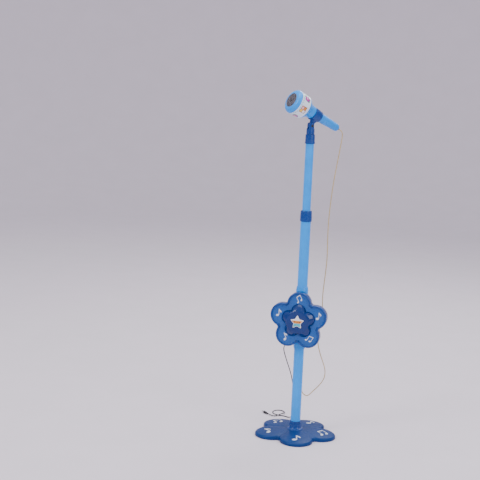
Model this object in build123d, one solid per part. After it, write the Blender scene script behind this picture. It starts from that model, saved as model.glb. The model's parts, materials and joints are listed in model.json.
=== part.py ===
from build123d import *
import os
from math import cos, pi, radians, sin, sqrt, tan

# Toy karaoke microphone on a telescoping stand. Millimetres, +Z up, front towards -Y.
# The origin is on the pole's axis, on the surface that the base stands on.

os.makedirs("parts", exist_ok=True)

# ---- Heights along the pole -------------------------------------------------------
COLLAR_TOP = 45.0            # top of the base's pole socket
SPEAKER_HEIGHT = 379.0       # centre of the loudspeaker flower
LOWER_TUBE_TOP = SPEAKER_HEIGHT - 48.0
MID_TUBE_BOTTOM = SPEAKER_HEIGHT + 42.0
MID_TUBE_TOP = 712.0
LOCK_COLLAR_BOTTOM = 693.0
LOCK_COLLAR_TOP = 727.0
UPPER_TUBE_BOTTOM = 648.0
UPPER_TUBE_TOP = 957.0
TOP_COLLAR_BOTTOM = 937.0
TOP_COLLAR_TOP = 966.0
PIVOT_HEIGHT = 992.0

# ---- Pole sections ----------------------------------------------------------------
LARGE_TUBE_RADIUS = 16.0
LARGE_TUBE_WALL = 1.5
SMALL_TUBE_RADIUS = 13.0
SMALL_TUBE_WALL = 1.2
RUNNING_GAP = 0.05           # radial gap of parts that slide or turn on each other
SEAT_GAP = 0.05              # radial gap of parts pushed into each other and fixed

# ---- Base -------------------------------------------------------------------------
BASE_REACH = 81.0            # pole axis to a petal's centre
BASE_PETAL = 52.0            # petal radius
BASE_VALLEY = 9.0            # rounding between two petals
BASE_FIRST_PETAL = 285.0     # one petal points a little to the right of the front
BASE_WALL = 2.2
BASE_DOME_TOP = 19.0
BASE_DOME_RADIUS = 1000.0
BASE_PLATE = 4.0
BASE_SCREW_REACH = 84.0
BASE_SCREW_LENGTH = 10.0
BASE_SCREW_SEAT = 2.3        # recess of each screw head in the bottom plate
HUB_FOOT = 18.4              # radius of the pole socket below the dome

# ---- Loudspeaker box --------------------------------------------------------------
BOX_REACH = 55.0
BOX_PETAL = 38.0
BOX_VALLEY = 9.0
BOX_FIRST_PETAL = 90.0       # one petal points up
BOX_WALL = 2.2
BOX_BACK = 20.0              # back face, behind the pole's axis
BOX_PARTING = 18.0           # joint of the two shells, in front of the pole's axis
BOX_RIM = 42.0               # front of the raised rim
RING_FACE = 38.0             # front of the ring inside the rim
RIM_WIDTH = 6.0
BACK_INSET = 10.0            # the back shell is smaller than the front flower by this
EDGE_ROUND = 3.0
DOME_REACH = 33.0            # foot of the raised dome: a smaller flower
DOME_PETAL = 22.0
DOME_VALLEY = 5.0
DOME_TOP = 52.0
DOME_WALL = 2.0
CROWN = (6.0, 31.0, 30.0)    # reach, petal and valley of the dome's nearly round top
BAFFLE_BACK = 22.0
BAFFLE_FRONT = 24.0
BADGE_THICKNESS = 3.5
SOCKET_RADIUS = 19.3
BOX_SCREW_REACH = 76.0
UPPER_SCREW = (28.0, 46.0)   # the two screws beside the upper pole socket

# ---- Battery bay (four AA cells lying across the box) ------------------------------
CELL_RADIUS = 7.1
CELL_BODY = 49.0
CELL_BUTTON = 1.2
CELL_PITCH = 14.7
CELL_DEPTH = 10.2
BAY_CENTRE = (2.0, SPEAKER_HEIGHT + 3.5)
BAY_LENGTH = 58.0
BAY_HEIGHT = 59.6
BAY_FLOOR = 2.5
BAY_WALL = 1.5
DOOR_WIDTH = 69.0
DOOR_HEIGHT = 62.0
DOOR_CENTRE = (-0.5, SPEAKER_HEIGHT + 3.5)
DOOR_GAP = 0.25
DOOR_SCREW = (-32.2, SPEAKER_HEIGHT + 7.0)

# ---- Sockets, volume control -------------------------------------------------------
JACK_X = 42.0
AUX_JACK_HEIGHT = SPEAKER_HEIGHT + 9.0
MIC_JACK_HEIGHT = SPEAKER_HEIGHT - 6.0
JACK_FACE = 20.8
JACK_BOARD = 4.6
PLUG_PIN_RADIUS = 1.75
PLUG_PIN_LENGTH = 14.0
WHEEL_CENTRE = (0.0, 15.0, SPEAKER_HEIGHT - 34.0)
WHEEL_RADIUS = 6.0
WHEEL_THICKNESS = 2.6

# ---- Microphone and clip ----------------------------------------------------------
MIC_RISE = 25.0              # elevation of the microphone's head
MIC_HEADING = 47.0           # turned from -X towards the front
MIC_OFFSET = 38.0            # clip pivot to the microphone's axis
CLIP_STATION = 103.0         # grille plane to the middle of the clip, along the axis
CLIP_LENGTH = 30.0
CLIP_WALL = 2.6
CLIP_GAP = 0.3
CLIP_OPENING = 38.0          # half angle of the gap at the top of the clip
MIC_WALL = 2.2
MIC_LENGTH = 200.0
BAND_END = 49.2              # where the white band stops and the handle's funnel starts

# ---- Cords ------------------------------------------------------------------------
CORD_DIAMETER = 3.0
PLUG_GRIP_END = 44.0

PETALS = 5
PETAL_STEP = 360.0 / PETALS

rise = radians(MIC_RISE)
heading = radians(MIC_HEADING)
MIC_FORWARD = Vector(-cos(rise) * cos(heading), -cos(rise) * sin(heading), sin(rise))
MIC_UP = Vector(sin(rise) * cos(heading), sin(rise) * sin(heading), cos(rise))
TILT_AXIS = MIC_FORWARD.cross(MIC_UP)
PIVOT = Vector(0, 0, PIVOT_HEIGHT)
MIC_FACE = PIVOT + MIC_UP * MIC_OFFSET + MIC_FORWARD * CLIP_STATION

FRONT = Plane(origin=(0, 0, SPEAKER_HEIGHT), x_dir=(1, 0, 0), z_dir=(0, -1, 0))
MIC = Plane(origin=MIC_FACE, x_dir=TILT_AXIS, z_dir=-MIC_FORWARD)
NECK = Plane(origin=PIVOT, x_dir=TILT_AXIS, z_dir=(0, 0, 1))


# ---- Shape helpers ----------------------------------------------------------------
def turned(*corners):
    """Solid of revolution about Z through (radius, height) corners."""
    outline = make_face(Polyline(*corners, close=True))
    return revolve(Plane.XZ * outline, Axis.Z)


def pipe(outer, inner, bottom, top):
    return turned((inner, bottom), (outer, bottom), (outer, top), (inner, top))


def rod(radius, bottom, top):
    return Pos(0, 0, bottom) * extrude(Circle(radius), top - bottom)


def flower(reach, petal, valley, first_angle, inset=0.0):
    """Five round petals joined by tangent valley arcs, all moved inwards by inset."""
    half_step = radians(PETAL_STEP / 2)
    valley_reach = reach * cos(half_step) + sqrt((petal + valley) ** 2 - (reach * sin(half_step)) ** 2)
    petal_out = [Vector(1, 0).rotate(Axis.Z, first_angle + PETAL_STEP * number) for number in range(PETALS)]
    valley_out = [direction.rotate(Axis.Z, PETAL_STEP / 2) for direction in petal_out]

    def joint(petal_number, valley_number):
        centre = petal_out[petal_number] * reach
        towards = valley_out[valley_number] * valley_reach - centre
        return centre + towards.normalized() * (petal - inset)

    arcs = []
    for number in range(PETALS):
        following = (number + 1) % PETALS
        start = joint(number, number - 1)
        middle = joint(number, number)
        end = joint(following, number)
        arcs.append(ThreePointArc(start, petal_out[number] * (reach + petal - inset), middle))
        arcs.append(ThreePointArc(middle, valley_out[number] * (valley_reach - valley - inset), end))
    return make_face(arcs)


def slab(outline, bottom, top):
    return Pos(0, 0, bottom) * extrude(outline, top - bottom)


def block(low, high):
    size = [high[axis] - low[axis] for axis in range(3)]
    centre = [(high[axis] + low[axis]) / 2 for axis in range(3)]
    return Pos(*centre) * Box(*size)


def screw(head_radius, head_height, shank_radius, length):
    """Cross-headed screw: the head's underside is at the origin and the tip points along +Z."""
    body = turned((0, -head_height), (0.8 * head_radius, -head_height), (head_radius, -0.5 * head_height),
                  (head_radius, 0), (shank_radius, 0), (shank_radius, length - shank_radius), (0, length))
    for angle in (0, 90):
        slot = Rot(0, 0, angle) * Box(1.3 * head_radius, 0.3 * head_radius, head_height)
        body -= Pos(0, 0, -head_height) * slot
    return body


def group(solids):
    return Compound(children=list(solids))


def save(node, shape):
    if len(shape.solids()) == 1:
        shape = shape.solids()[0]
    export_step(shape, f"parts/{node}.step")


def petal_places(reach, first_angle):
    angles = [radians(first_angle + PETAL_STEP * number) for number in range(PETALS)]
    return [(reach * cos(angle), reach * sin(angle)) for angle in angles]


# ---- Base -------------------------------------------------------------------------
def base_parts():
    outline = flower(BASE_REACH, BASE_PETAL, BASE_VALLEY, BASE_FIRST_PETAL)
    cavity = flower(BASE_REACH, BASE_PETAL, BASE_VALLEY, BASE_FIRST_PETAL, BASE_WALL)
    plate = flower(BASE_REACH, BASE_PETAL, BASE_VALLEY, BASE_FIRST_PETAL, BASE_WALL + 0.3)
    dome = Pos(0, 0, BASE_DOME_TOP - BASE_DOME_RADIUS) * Sphere(BASE_DOME_RADIUS)
    inner_dome = Pos(0, 0, BASE_DOME_TOP - BASE_DOME_RADIUS - BASE_WALL) * Sphere(BASE_DOME_RADIUS)
    screw_places = petal_places(BASE_SCREW_REACH, BASE_FIRST_PETAL)

    bore = LARGE_TUBE_RADIUS + SEAT_GAP
    hub = turned((bore, BASE_PLATE), (HUB_FOOT, BASE_PLATE), (HUB_FOOT, 13), (23.5, 17), (23.5, 20),
                 (20.5, 22), (19, 27), (18.2, 35), (18, COLLAR_TOP - 1), (17.4, COLLAR_TOP),
                 (bore, COLLAR_TOP))
    shell = (slab(outline, 0, 40) & dome) - (slab(cavity, 0, 40) & inner_dome) - rod(bore, 0, 60)
    shell += hub
    for x, y in screw_places:
        boss = Pos(x, y, 0) * rod(4, BASE_PLATE, BASE_DOME_TOP) & dome
        shell += boss
        shell -= Pos(x, y, 0) * rod(1.5, 0, BASE_SCREW_SEAT + BASE_SCREW_LENGTH + 0.5)
    bottom = slab(plate, 0, BASE_PLATE)
    fasteners = []
    for x, y in screw_places:
        bottom -= Pos(x, y, 0) * rod(3.3, 0, BASE_SCREW_SEAT)
        bottom -= Pos(x, y, 0) * rod(1.8, 0, BASE_PLATE)
        fasteners.append(Pos(x, y, BASE_SCREW_SEAT) * screw(2.9, 1.9, 1.4, BASE_SCREW_LENGTH))
    save("base_shell", shell)
    save("base_bottom_plate", bottom)
    save("base_screws", group(fasteners))


# ---- Pole -------------------------------------------------------------------------
def pole_parts():
    inner = LARGE_TUBE_RADIUS - LARGE_TUBE_WALL
    small_inner = SMALL_TUBE_RADIUS - SMALL_TUBE_WALL
    save("lower_tube", pipe(LARGE_TUBE_RADIUS, inner, BASE_PLATE, LOWER_TUBE_TOP))
    save("mid_tube", pipe(LARGE_TUBE_RADIUS, inner, MID_TUBE_BOTTOM, MID_TUBE_TOP))
    save("upper_tube", pipe(SMALL_TUBE_RADIUS, small_inner, UPPER_TUBE_BOTTOM, UPPER_TUBE_TOP))
    save("guide_bush", pipe(inner - RUNNING_GAP, SMALL_TUBE_RADIUS + SEAT_GAP, UPPER_TUBE_BOTTOM,
                            UPPER_TUBE_BOTTOM + 20))

    grip = SMALL_TUBE_RADIUS + RUNNING_GAP
    collet = turned((grip, MID_TUBE_TOP - 14), (inner - SEAT_GAP, MID_TUBE_TOP - 14),
                    (inner - SEAT_GAP, MID_TUBE_TOP), (LARGE_TUBE_RADIUS, MID_TUBE_TOP),
                    (LARGE_TUBE_RADIUS, MID_TUBE_TOP + 3), (15.4, MID_TUBE_TOP + 3.5),
                    (14.0, MID_TUBE_TOP + 10), (grip, MID_TUBE_TOP + 10))
    for number in range(3):
        slit = Box(40, 1.4, 6.6)
        collet -= Pos(0, 0, MID_TUBE_TOP + 7) * Rot(0, 0, 60 * number) * slit
    save("lock_collet", collet)

    bore = LARGE_TUBE_RADIUS + 0.06
    mouth = SMALL_TUBE_RADIUS + 0.4
    collar = turned((bore, LOCK_COLLAR_BOTTOM), (18.0, LOCK_COLLAR_BOTTOM), (18.6, LOCK_COLLAR_BOTTOM + 1),
                    (18.6, LOCK_COLLAR_BOTTOM + 14), (17.9, LOCK_COLLAR_TOP - 2), (17.2, LOCK_COLLAR_TOP),
                    (mouth, LOCK_COLLAR_TOP), (mouth, LOCK_COLLAR_TOP - 2), (bore, LOCK_COLLAR_TOP - 10))
    save("lock_collar", collar)

    spigot = 8.0
    cap = turned((SMALL_TUBE_RADIUS + SEAT_GAP, TOP_COLLAR_BOTTOM), (15.7, TOP_COLLAR_BOTTOM),
                 (15.9, TOP_COLLAR_BOTTOM + 1), (15.9, TOP_COLLAR_BOTTOM + 5), (15.2, TOP_COLLAR_BOTTOM + 6),
                 (14.7, TOP_COLLAR_TOP - 1), (14.2, TOP_COLLAR_TOP), (spigot + RUNNING_GAP, TOP_COLLAR_TOP),
                 (spigot + RUNNING_GAP, UPPER_TUBE_TOP), (SMALL_TUBE_RADIUS + SEAT_GAP, UPPER_TUBE_TOP))
    save("top_collar", cap)


# ---- Fork, clip and their cross screw ----------------------------------------------
def cone_radius(station):
    """Outer radius of the microphone's handle where the clip holds it."""
    return 19.4 - (station - 89.0) * (19.4 - 15.1) / (123.0 - 89.0)


def head_of_stand():
    post_radius = 10.8
    slot_half = 4.2
    spigot = 8.0
    base = TOP_COLLAR_TOP - PIVOT_HEIGHT + 0.3
    rounded_top = block((-20, -20, -40), (20, 20, 0)) + Rot(0, 90, 0) * Cylinder(10.2, 40)
    post = rod(post_radius, base, 20) & rounded_top
    post += rod(spigot, UPPER_TUBE_TOP - PIVOT_HEIGHT - 8, base)
    post += turned((0, UPPER_TUBE_TOP - PIVOT_HEIGHT - 10), (7.4, UPPER_TUBE_TOP - PIVOT_HEIGHT - 10),
                   (9.2, UPPER_TUBE_TOP - PIVOT_HEIGHT - 4), (9.2, UPPER_TUBE_TOP - PIVOT_HEIGHT - 0.4),
                   (0, UPPER_TUBE_TOP - PIVOT_HEIGHT - 0.4))
    post -= block((-slot_half, -20, -10.4), (slot_half, 20, 20))
    for side in (-1, 1):
        post -= block((-3, side * 12 - 2.6, -22), (3, side * 12 + 2.6, -12.5))
    post -= Rot(0, 90, 0) * Cylinder(2.0 + RUNNING_GAP, 40)
    post -= Rot(0, 90, 0) * rod(4.2, 7.6, 20)
    nut_pocket = extrude(RegularPolygon(4.2, 6), 12)
    post -= Rot(0, -90, 0) * Pos(0, 0, 7.6) * nut_pocket
    save("neck_post", NECK * post)

    pin = Rot(0, -90, 0) * Pos(0, 0, -7.6) * screw(3.8, 2.4, 2.0, 17.6)
    save("pivot_screw", NECK * pin)
    nut = extrude(RegularPolygon(4.05, 6), 2.4) - Cylinder(2.0 + SEAT_GAP, 20)
    save("pivot_nut", NECK * Rot(0, -90, 0) * Pos(0, 0, 7.6) * nut)

    start = CLIP_STATION - CLIP_LENGTH / 2
    end = CLIP_STATION + CLIP_LENGTH / 2
    hollow = turned((0, start - 5), (cone_radius(start - 5) + CLIP_GAP, start - 5),
                    (cone_radius(end + 5) + CLIP_GAP, end + 5), (0, end + 5))
    body = turned((0, start), (cone_radius(start) + CLIP_GAP + CLIP_WALL, start),
                  (cone_radius(end) + CLIP_GAP + CLIP_WALL, end), (0, end))
    knuckle = Pos(0, -MIC_OFFSET, CLIP_STATION) * Rot(0, 90, 0) * Cylinder(8.5, 8)
    side = make_face(Polyline((-MIC_OFFSET, -8.5), (-MIC_OFFSET + 12, -7.5), (-19, -11.5), (-8, -11.5),
                              (-8, 11.5), (-19, 11.5), (-MIC_OFFSET + 12, 7.5), (-MIC_OFFSET, 8.5),
                              close=True))
    lay = Plane(origin=(0, 0, CLIP_STATION), x_dir=(0, 1, 0), z_dir=(1, 0, 0))
    thin = extrude(lay * side, 4, both=True)
    thick = extrude(lay * side, 6.5, both=True) - block((-20, -60, 0), (20, -MIC_OFFSET + 12, 300))
    clip = body + thin + thick + knuckle - hollow
    reach = 60.0
    half = radians(CLIP_OPENING)
    wedge = make_face(Polyline((0, 0), (reach * sin(half), reach * cos(half)),
                               (-reach * sin(half), reach * cos(half)), close=True))
    clip -= slab(wedge, start - 10, end + 10)
    clip -= Pos(0, -MIC_OFFSET, CLIP_STATION) * Rot(0, 90, 0) * Cylinder(2.0 + RUNNING_GAP, 40)
    save("mic_clip", MIC * clip)


# ---- Microphone -------------------------------------------------------------------
def handle_outline(inset):
    """Half section of the handle, from the band to the tail, moved inwards by inset."""
    funnel = Spline((36.3 - inset, BAND_END), (28.5 - inset, 61.5), (22.5 - inset, 70.0),
                    tangents=[(-0.25, 1.0), (-0.35, 1.0)])
    grip = Polyline((22.5 - inset, 70.0), (19.4 - inset, 89.0), (15.1 - inset, 123.0), (13.9 - inset, 152.0),
                    (12.2 - inset, 192.0))
    tail = RadiusArc((12.2 - inset, 192.0), (5.5, MIC_LENGTH - inset), 9.5 - 0.5 * inset)
    closing = Polyline((5.5, MIC_LENGTH - inset), (0, MIC_LENGTH - inset), (0, BAND_END),
                       (36.3 - inset, BAND_END))
    return revolve(Plane.XZ * make_face([funnel, grip, tail, closing]), Axis.Z)


def microphone_parts():
    cap_arc = ThreePointArc((23.6, 0), (33.5, 3.6), (38.5, 12.5))
    cap_rest = Polyline((38.5, 12.5), (36.3, 12.5), (36.3, 16.5), (34.8, 16.5), (34.8, 11.0), (30.5, 5.2),
                        (23.0, 2.8), (21.6, 2.6), (21.6, 1.5), (22.8, 1.5), (22.8, 0.2), (23.6, 0))
    cap = revolve(Plane.XZ * make_face([cap_arc, cap_rest]), Axis.Z)
    save("mic_cap", MIC * cap)

    grille = turned((0, -1.1), (12, -0.6), (22.6, 0.7), (22.6, 1.4), (12, 0.1), (0, -0.4))
    for ring_radius, count in ((6.0, 8), (10.5, 14), (15.0, 20), (19.2, 26)):
        for number in range(count):
            grille -= Rot(0, 0, 360.0 / count * number) * Pos(ring_radius, 0, 0) * Cylinder(0.8, 6)
    save("mic_grille", MIC * (grille - Cylinder(2.0, 6)))
    stud = turned((0, -2.0), (1.6, -1.9), (2.6, -1.15), (1.95, -1.1), (1.95, 0.8), (0, 0.8))
    save("mic_grille_stud", MIC * stud)
    save("mic_foam", MIC * rod(21.2, 3.0, 7.0))
    save("mic_capsule", MIC * rod(4.9, 8.0, 14.5))
    holder = pipe(7.0, 5.0, 8.0, 14.0) + pipe(34.6, 5.0, 14.0, 16.5)
    save("mic_capsule_holder", MIC * holder)

    band = turned((38.5, 12.8), (36.6, BAND_END - 0.2), (34.6, BAND_END - 0.2), (36.5, 12.8))
    save("mic_band", MIC * band)

    whole = handle_outline(0) - handle_outline(MIC_WALL) - rod(3.3, 180, 220)
    lip = turned((32.4, 42), (34.4, 42), (34.4, BAND_END), (35.8, BAND_END), (34.4, 52.4), (31.6, 52.4),
                 (32.4, BAND_END))
    whole += lip
    lower_side = block((-60, -60, 30), (60, 0, 220))
    upper = whole - lower_side
    lower = whole & lower_side
    inside = handle_outline(0.8)
    fasteners = []
    for station, radius in ((134.0, 14.6), (174.0, 12.9)):
        seat = 4.2 - radius
        post = Pos(0, 0, station) * Rot(-90, 0, 0)
        upper += (post * rod(3.2, 0.1, radius)) & inside
        upper -= post * rod(1.2, 0, 6.5)
        lower += (post * rod(3.6, -radius, 0)) & inside
        lower -= post * rod(1.4, -radius, 0)
        lower -= post * rod(2.7, -radius - 2, seat)
        fasteners.append(post * Pos(0, 0, seat) * screw(2.4, 1.6, 1.1, 14.5))
    save("mic_handle_upper", MIC * upper)
    save("mic_handle_lower", MIC * lower)
    save("mic_handle_screws", MIC * group(fasteners))

    relief = turned((0, 194), (4.6, 194), (4.6, MIC_LENGTH - MIC_WALL - 0.4),
                    (3.2, MIC_LENGTH - MIC_WALL - 0.4), (3.2, MIC_LENGTH + 2), (2.3, MIC_LENGTH + 6),
                    (0, MIC_LENGTH + 6))
    save("mic_strain_relief", MIC * relief)


# ---- Loudspeaker box --------------------------------------------------------------
def box_screw_places():
    places = petal_places(BOX_SCREW_REACH, BOX_FIRST_PETAL)[1:]
    return places + [UPPER_SCREW, (-UPPER_SCREW[0], UPPER_SCREW[1])]


def speaker_shells():
    outline = flower(BOX_REACH, BOX_PETAL, BOX_VALLEY, BOX_FIRST_PETAL)
    cavity = flower(BOX_REACH, BOX_PETAL, BOX_VALLEY, BOX_FIRST_PETAL, BOX_WALL)
    back_outline = flower(BOX_REACH, BOX_PETAL, BOX_VALLEY, BOX_FIRST_PETAL, BACK_INSET)
    back_cavity = flower(BOX_REACH, BOX_PETAL, BOX_VALLEY, BOX_FIRST_PETAL, BACK_INSET + BOX_WALL)
    bore = LARGE_TUBE_RADIUS + SEAT_GAP
    tube_end = BOX_BACK - BOX_WALL
    middle = SPEAKER_HEIGHT

    # The back shell is built in the flower's own plane, then turned upright.
    shell = slab(back_outline, -BOX_BACK, BOX_PARTING)
    shell = fillet(shell.faces().sort_by(Axis.Z)[0].edges(), EDGE_ROUND)
    shell = FRONT * (shell - slab(back_cavity, -tube_end, BOX_PARTING))
    upper_socket = turned((0, middle + 40), (SOCKET_RADIUS, middle + 40), (SOCKET_RADIUS, middle + 94),
                          (18.2, middle + 100), (17.2, middle + 106), (0, middle + 106))
    lower_socket = turned((0, middle - 96), (17.2, middle - 96), (18.2, middle - 90),
                          (SOCKET_RADIUS, middle - 80), (SOCKET_RADIUS, middle - 46), (0, middle - 46))
    shell += upper_socket + lower_socket
    shell -= rod(bore, MID_TUBE_BOTTOM, middle + 120)
    shell -= rod(bore, middle - 120, LOWER_TUBE_TOP)

    bay_low = (BAY_CENTRE[0] - BAY_LENGTH / 2, BAY_FLOOR, BAY_CENTRE[1] - BAY_HEIGHT / 2)
    bay_high = (BAY_CENTRE[0] + BAY_LENGTH / 2, BOX_BACK + 1, BAY_CENTRE[1] + BAY_HEIGHT / 2)
    wall_low = [value - BAY_WALL for value in bay_low]
    wall_high = (bay_high[0] + BAY_WALL, BOX_BACK, bay_high[2] + BAY_WALL)
    shell += block(wall_low, wall_high)
    shell -= block(bay_low, bay_high)
    door_low = (DOOR_CENTRE[0] - DOOR_WIDTH / 2, tube_end, DOOR_CENTRE[1] - DOOR_HEIGHT / 2)
    door_high = (DOOR_CENTRE[0] + DOOR_WIDTH / 2, BOX_BACK + 1, DOOR_CENTRE[1] + DOOR_HEIGHT / 2)
    ledge = block((door_low[0] - 2, tube_end - 1.6, door_low[2] - 2),
                  (door_high[0] + 2, BOX_BACK, door_high[2] + 2))
    shell += ledge - block(bay_low, bay_high)
    shell -= block(door_low, door_high)

    into_box = Plane(origin=(DOOR_SCREW[0], tube_end, DOOR_SCREW[1]), x_dir=(1, 0, 0), z_dir=(0, -1, 0))
    shell += into_box * rod(3.0, 0, 10)
    shell -= into_box * rod(1.45, -1, 9)

    for height in (AUX_JACK_HEIGHT, MIC_JACK_HEIGHT):
        hole = Plane(origin=(JACK_X, BOX_BACK + 1, height), x_dir=(1, 0, 0), z_dir=(0, -1, 0))
        shell -= hole * rod(3.95, 0, 5)
    shell -= block((-5.8, BOX_BACK - 4, WHEEL_CENTRE[2] - 1.8), (5.8, BOX_BACK + 1, WHEEL_CENTRE[2] + 1.8))

    fasteners = []
    for x, up in box_screw_places():
        at = Plane(origin=(x, BOX_BACK, SPEAKER_HEIGHT + up), x_dir=(1, 0, 0), z_dir=(0, -1, 0))
        shell += at * rod(4.6, 1, BOX_BACK + BOX_PARTING - 0.2)
        shell -= at * rod(3.3, -1, 26)
        shell -= at * rod(1.7, 20, BOX_BACK + BOX_PARTING + 1)
        fasteners.append(at * Pos(0, 0, 26) * screw(2.9, 2.2, 1.4, 22))
    save("speaker_back_shell", shell)
    save("speaker_housing_screws", group(fasteners))

    rim_inner = flower(BOX_REACH, BOX_PETAL, BOX_VALLEY, BOX_FIRST_PETAL, RIM_WIDTH)
    window = flower(DOME_REACH, DOME_PETAL, DOME_VALLEY, BOX_FIRST_PETAL)
    ring_back = RING_FACE - BOX_WALL
    front = slab(outline, BOX_PARTING, BOX_RIM)
    front = fillet(front.faces().sort_by(Axis.Z)[-1].edges(), EDGE_ROUND)
    front -= slab(back_cavity, BOX_PARTING, BOX_PARTING + BOX_WALL)
    front -= slab(cavity, BOX_PARTING + BOX_WALL, BAFFLE_BACK) + slab(cavity, BAFFLE_FRONT, ring_back)
    front -= rod(25, BAFFLE_BACK, BAFFLE_FRONT)
    front -= slab(rim_inner, RING_FACE, BOX_RIM + 1)
    front -= slab(window, ring_back, BOX_RIM + 1)
    for x, up in box_screw_places():
        front += Pos(x, up, 0) * rod(4.2, BOX_PARTING, RING_FACE - 1)
        front -= Pos(x, up, 0) * rod(1.5, BOX_PARTING - 1, RING_FACE - 5)
    front = FRONT * front
    around_socket = SOCKET_RADIUS + 0.2
    front -= rod(around_socket, middle - 120, middle - 30) + rod(around_socket, middle + 30, middle + 110)
    save("speaker_front_flower", front)


def dome_body(foot_inset, crown_inset, low, top):
    """Solid that rises straight to the ring's face, then narrows to the nearly round crown."""
    foot = flower(DOME_REACH, DOME_PETAL, DOME_VALLEY, BOX_FIRST_PETAL, foot_inset)
    crown = flower(*CROWN, BOX_FIRST_PETAL, crown_inset)
    sloping = loft([Pos(0, 0, RING_FACE) * foot, Pos(0, 0, top) * crown], ruled=True)
    return slab(foot, low, RING_FACE) + sloping


def dome_parts():
    """Raised glossy dome over the loudspeaker, with a star badge on its crown."""
    ring_back = RING_FACE - BOX_WALL
    flange = flower(DOME_REACH, DOME_PETAL, DOME_VALLEY, BOX_FIRST_PETAL, -3.5)
    dome = dome_body(0.3, 0, ring_back - 2, DOME_TOP) + slab(flange, ring_back - 2, ring_back)
    dome -= dome_body(0.3 + DOME_WALL, DOME_WALL, ring_back - 2, DOME_TOP - DOME_WALL)
    save("speaker_dome", FRONT * dome)

    badge_outer = 23.0
    badge_inner = 12.4
    tips = []
    for number in range(2 * PETALS):
        radius = badge_outer if number % 2 == 0 else badge_inner
        angle = radians(90 + 36 * number)
        tips.append((radius * cos(angle), radius * sin(angle)))
    star = fillet(make_face(Polyline(*tips, close=True)).vertices(), 1.6)
    save("star_badge", FRONT * slab(star, DOME_TOP, DOME_TOP + BADGE_THICKNESS))


def driver_parts():
    """57 mm loudspeaker behind the baffle, facing the front."""
    front = BAFFLE_BACK
    basket = turned((25, front), (28.5, front), (28.5, front - 1.2), (26.6, front - 1.2), (17.5, front - 9.7),
                    (8, front - 9.7), (8, front - 8.5), (16.5, front - 8.5), (25, front - 1.2))
    for number in range(4):
        basket -= Rot(0, 0, 45 + 90 * number) * block((18, -5, front - 7.5), (27, 5, front - 3))
    save("driver_basket", FRONT * basket)
    save("driver_magnet", FRONT * rod(16, front - 17.7, front - 9.7))
    cone = turned((24.6, front - 0.2), (7, front - 6.8), (7, front - 7.4), (24.6, front - 0.9))
    save("driver_cone", FRONT * cone)
    cap = turned((0, front - 3.6), (4, front - 4.2), (6.9, front - 6.6), (6.3, front - 6.6),
                 (3.8, front - 4.8), (0, front - 4.2))
    save("driver_dust_cap", FRONT * cap)


def electronics():
    middle = SPEAKER_HEIGHT
    board_low = (36, JACK_BOARD - 1.6, middle - 14)
    board_high = (54, JACK_BOARD, middle + 22)
    save("circuit_board", block(board_low, board_high))
    amplifier = block((38, 1.2, middle + 10), (46, 3, middle + 18))
    effects_chip = block((46, 1.6, middle - 4), (52, 3, middle + 4))
    coil = block((40, 0, middle - 10), (44, 3, middle - 6))
    capacitor = Plane(origin=(50, 3, middle + 14), x_dir=(1, 0, 0), z_dir=(0, -1, 0)) * rod(2.5, 0, 7)
    save("board_parts", group([amplifier, effects_chip, coil, capacitor]))
    for node, height in (("aux_jack", AUX_JACK_HEIGHT), ("mic_jack", MIC_JACK_HEIGHT)):
        at = Plane(origin=(JACK_X, 0, height), x_dir=(1, 0, 0), z_dir=(0, 1, 0))
        case = block((JACK_X - 4, JACK_BOARD, height - 5),
                     (JACK_X + 4, BOX_BACK - BOX_WALL - 0.2, height + 5))
        jack = case + at * rod(3.8, BOX_BACK - 6, JACK_FACE)
        jack -= at * rod(PLUG_PIN_RADIUS + 0.1, JACK_FACE - PLUG_PIN_LENGTH - 0.5, JACK_FACE + 1)
        save(node, jack)

    x, y, z = WHEEL_CENTRE
    case = block((-6, y - 6, z - 8), (6, y + 2.2, z - 2.4))
    case += Pos(x, y, 0) * rod(2.0, z - 2.4, z + 2.2)
    save("volume_control", case)
    save("volume_board", block((-10, y - 9, z - 9.8), (10, y + 2.2, z - 8)))
    wheel = rod(WHEEL_RADIUS, -WHEEL_THICKNESS / 2, WHEEL_THICKNESS / 2)
    for number in range(24):
        wheel -= Rot(0, 0, 15 * number) * Pos(WHEEL_RADIUS, 0, 0) * Cylinder(0.4, 10)
    wheel -= Cylinder(2.0 + RUNNING_GAP, 10)
    save("volume_wheel", Pos(x, y, z) * wheel)


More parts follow.
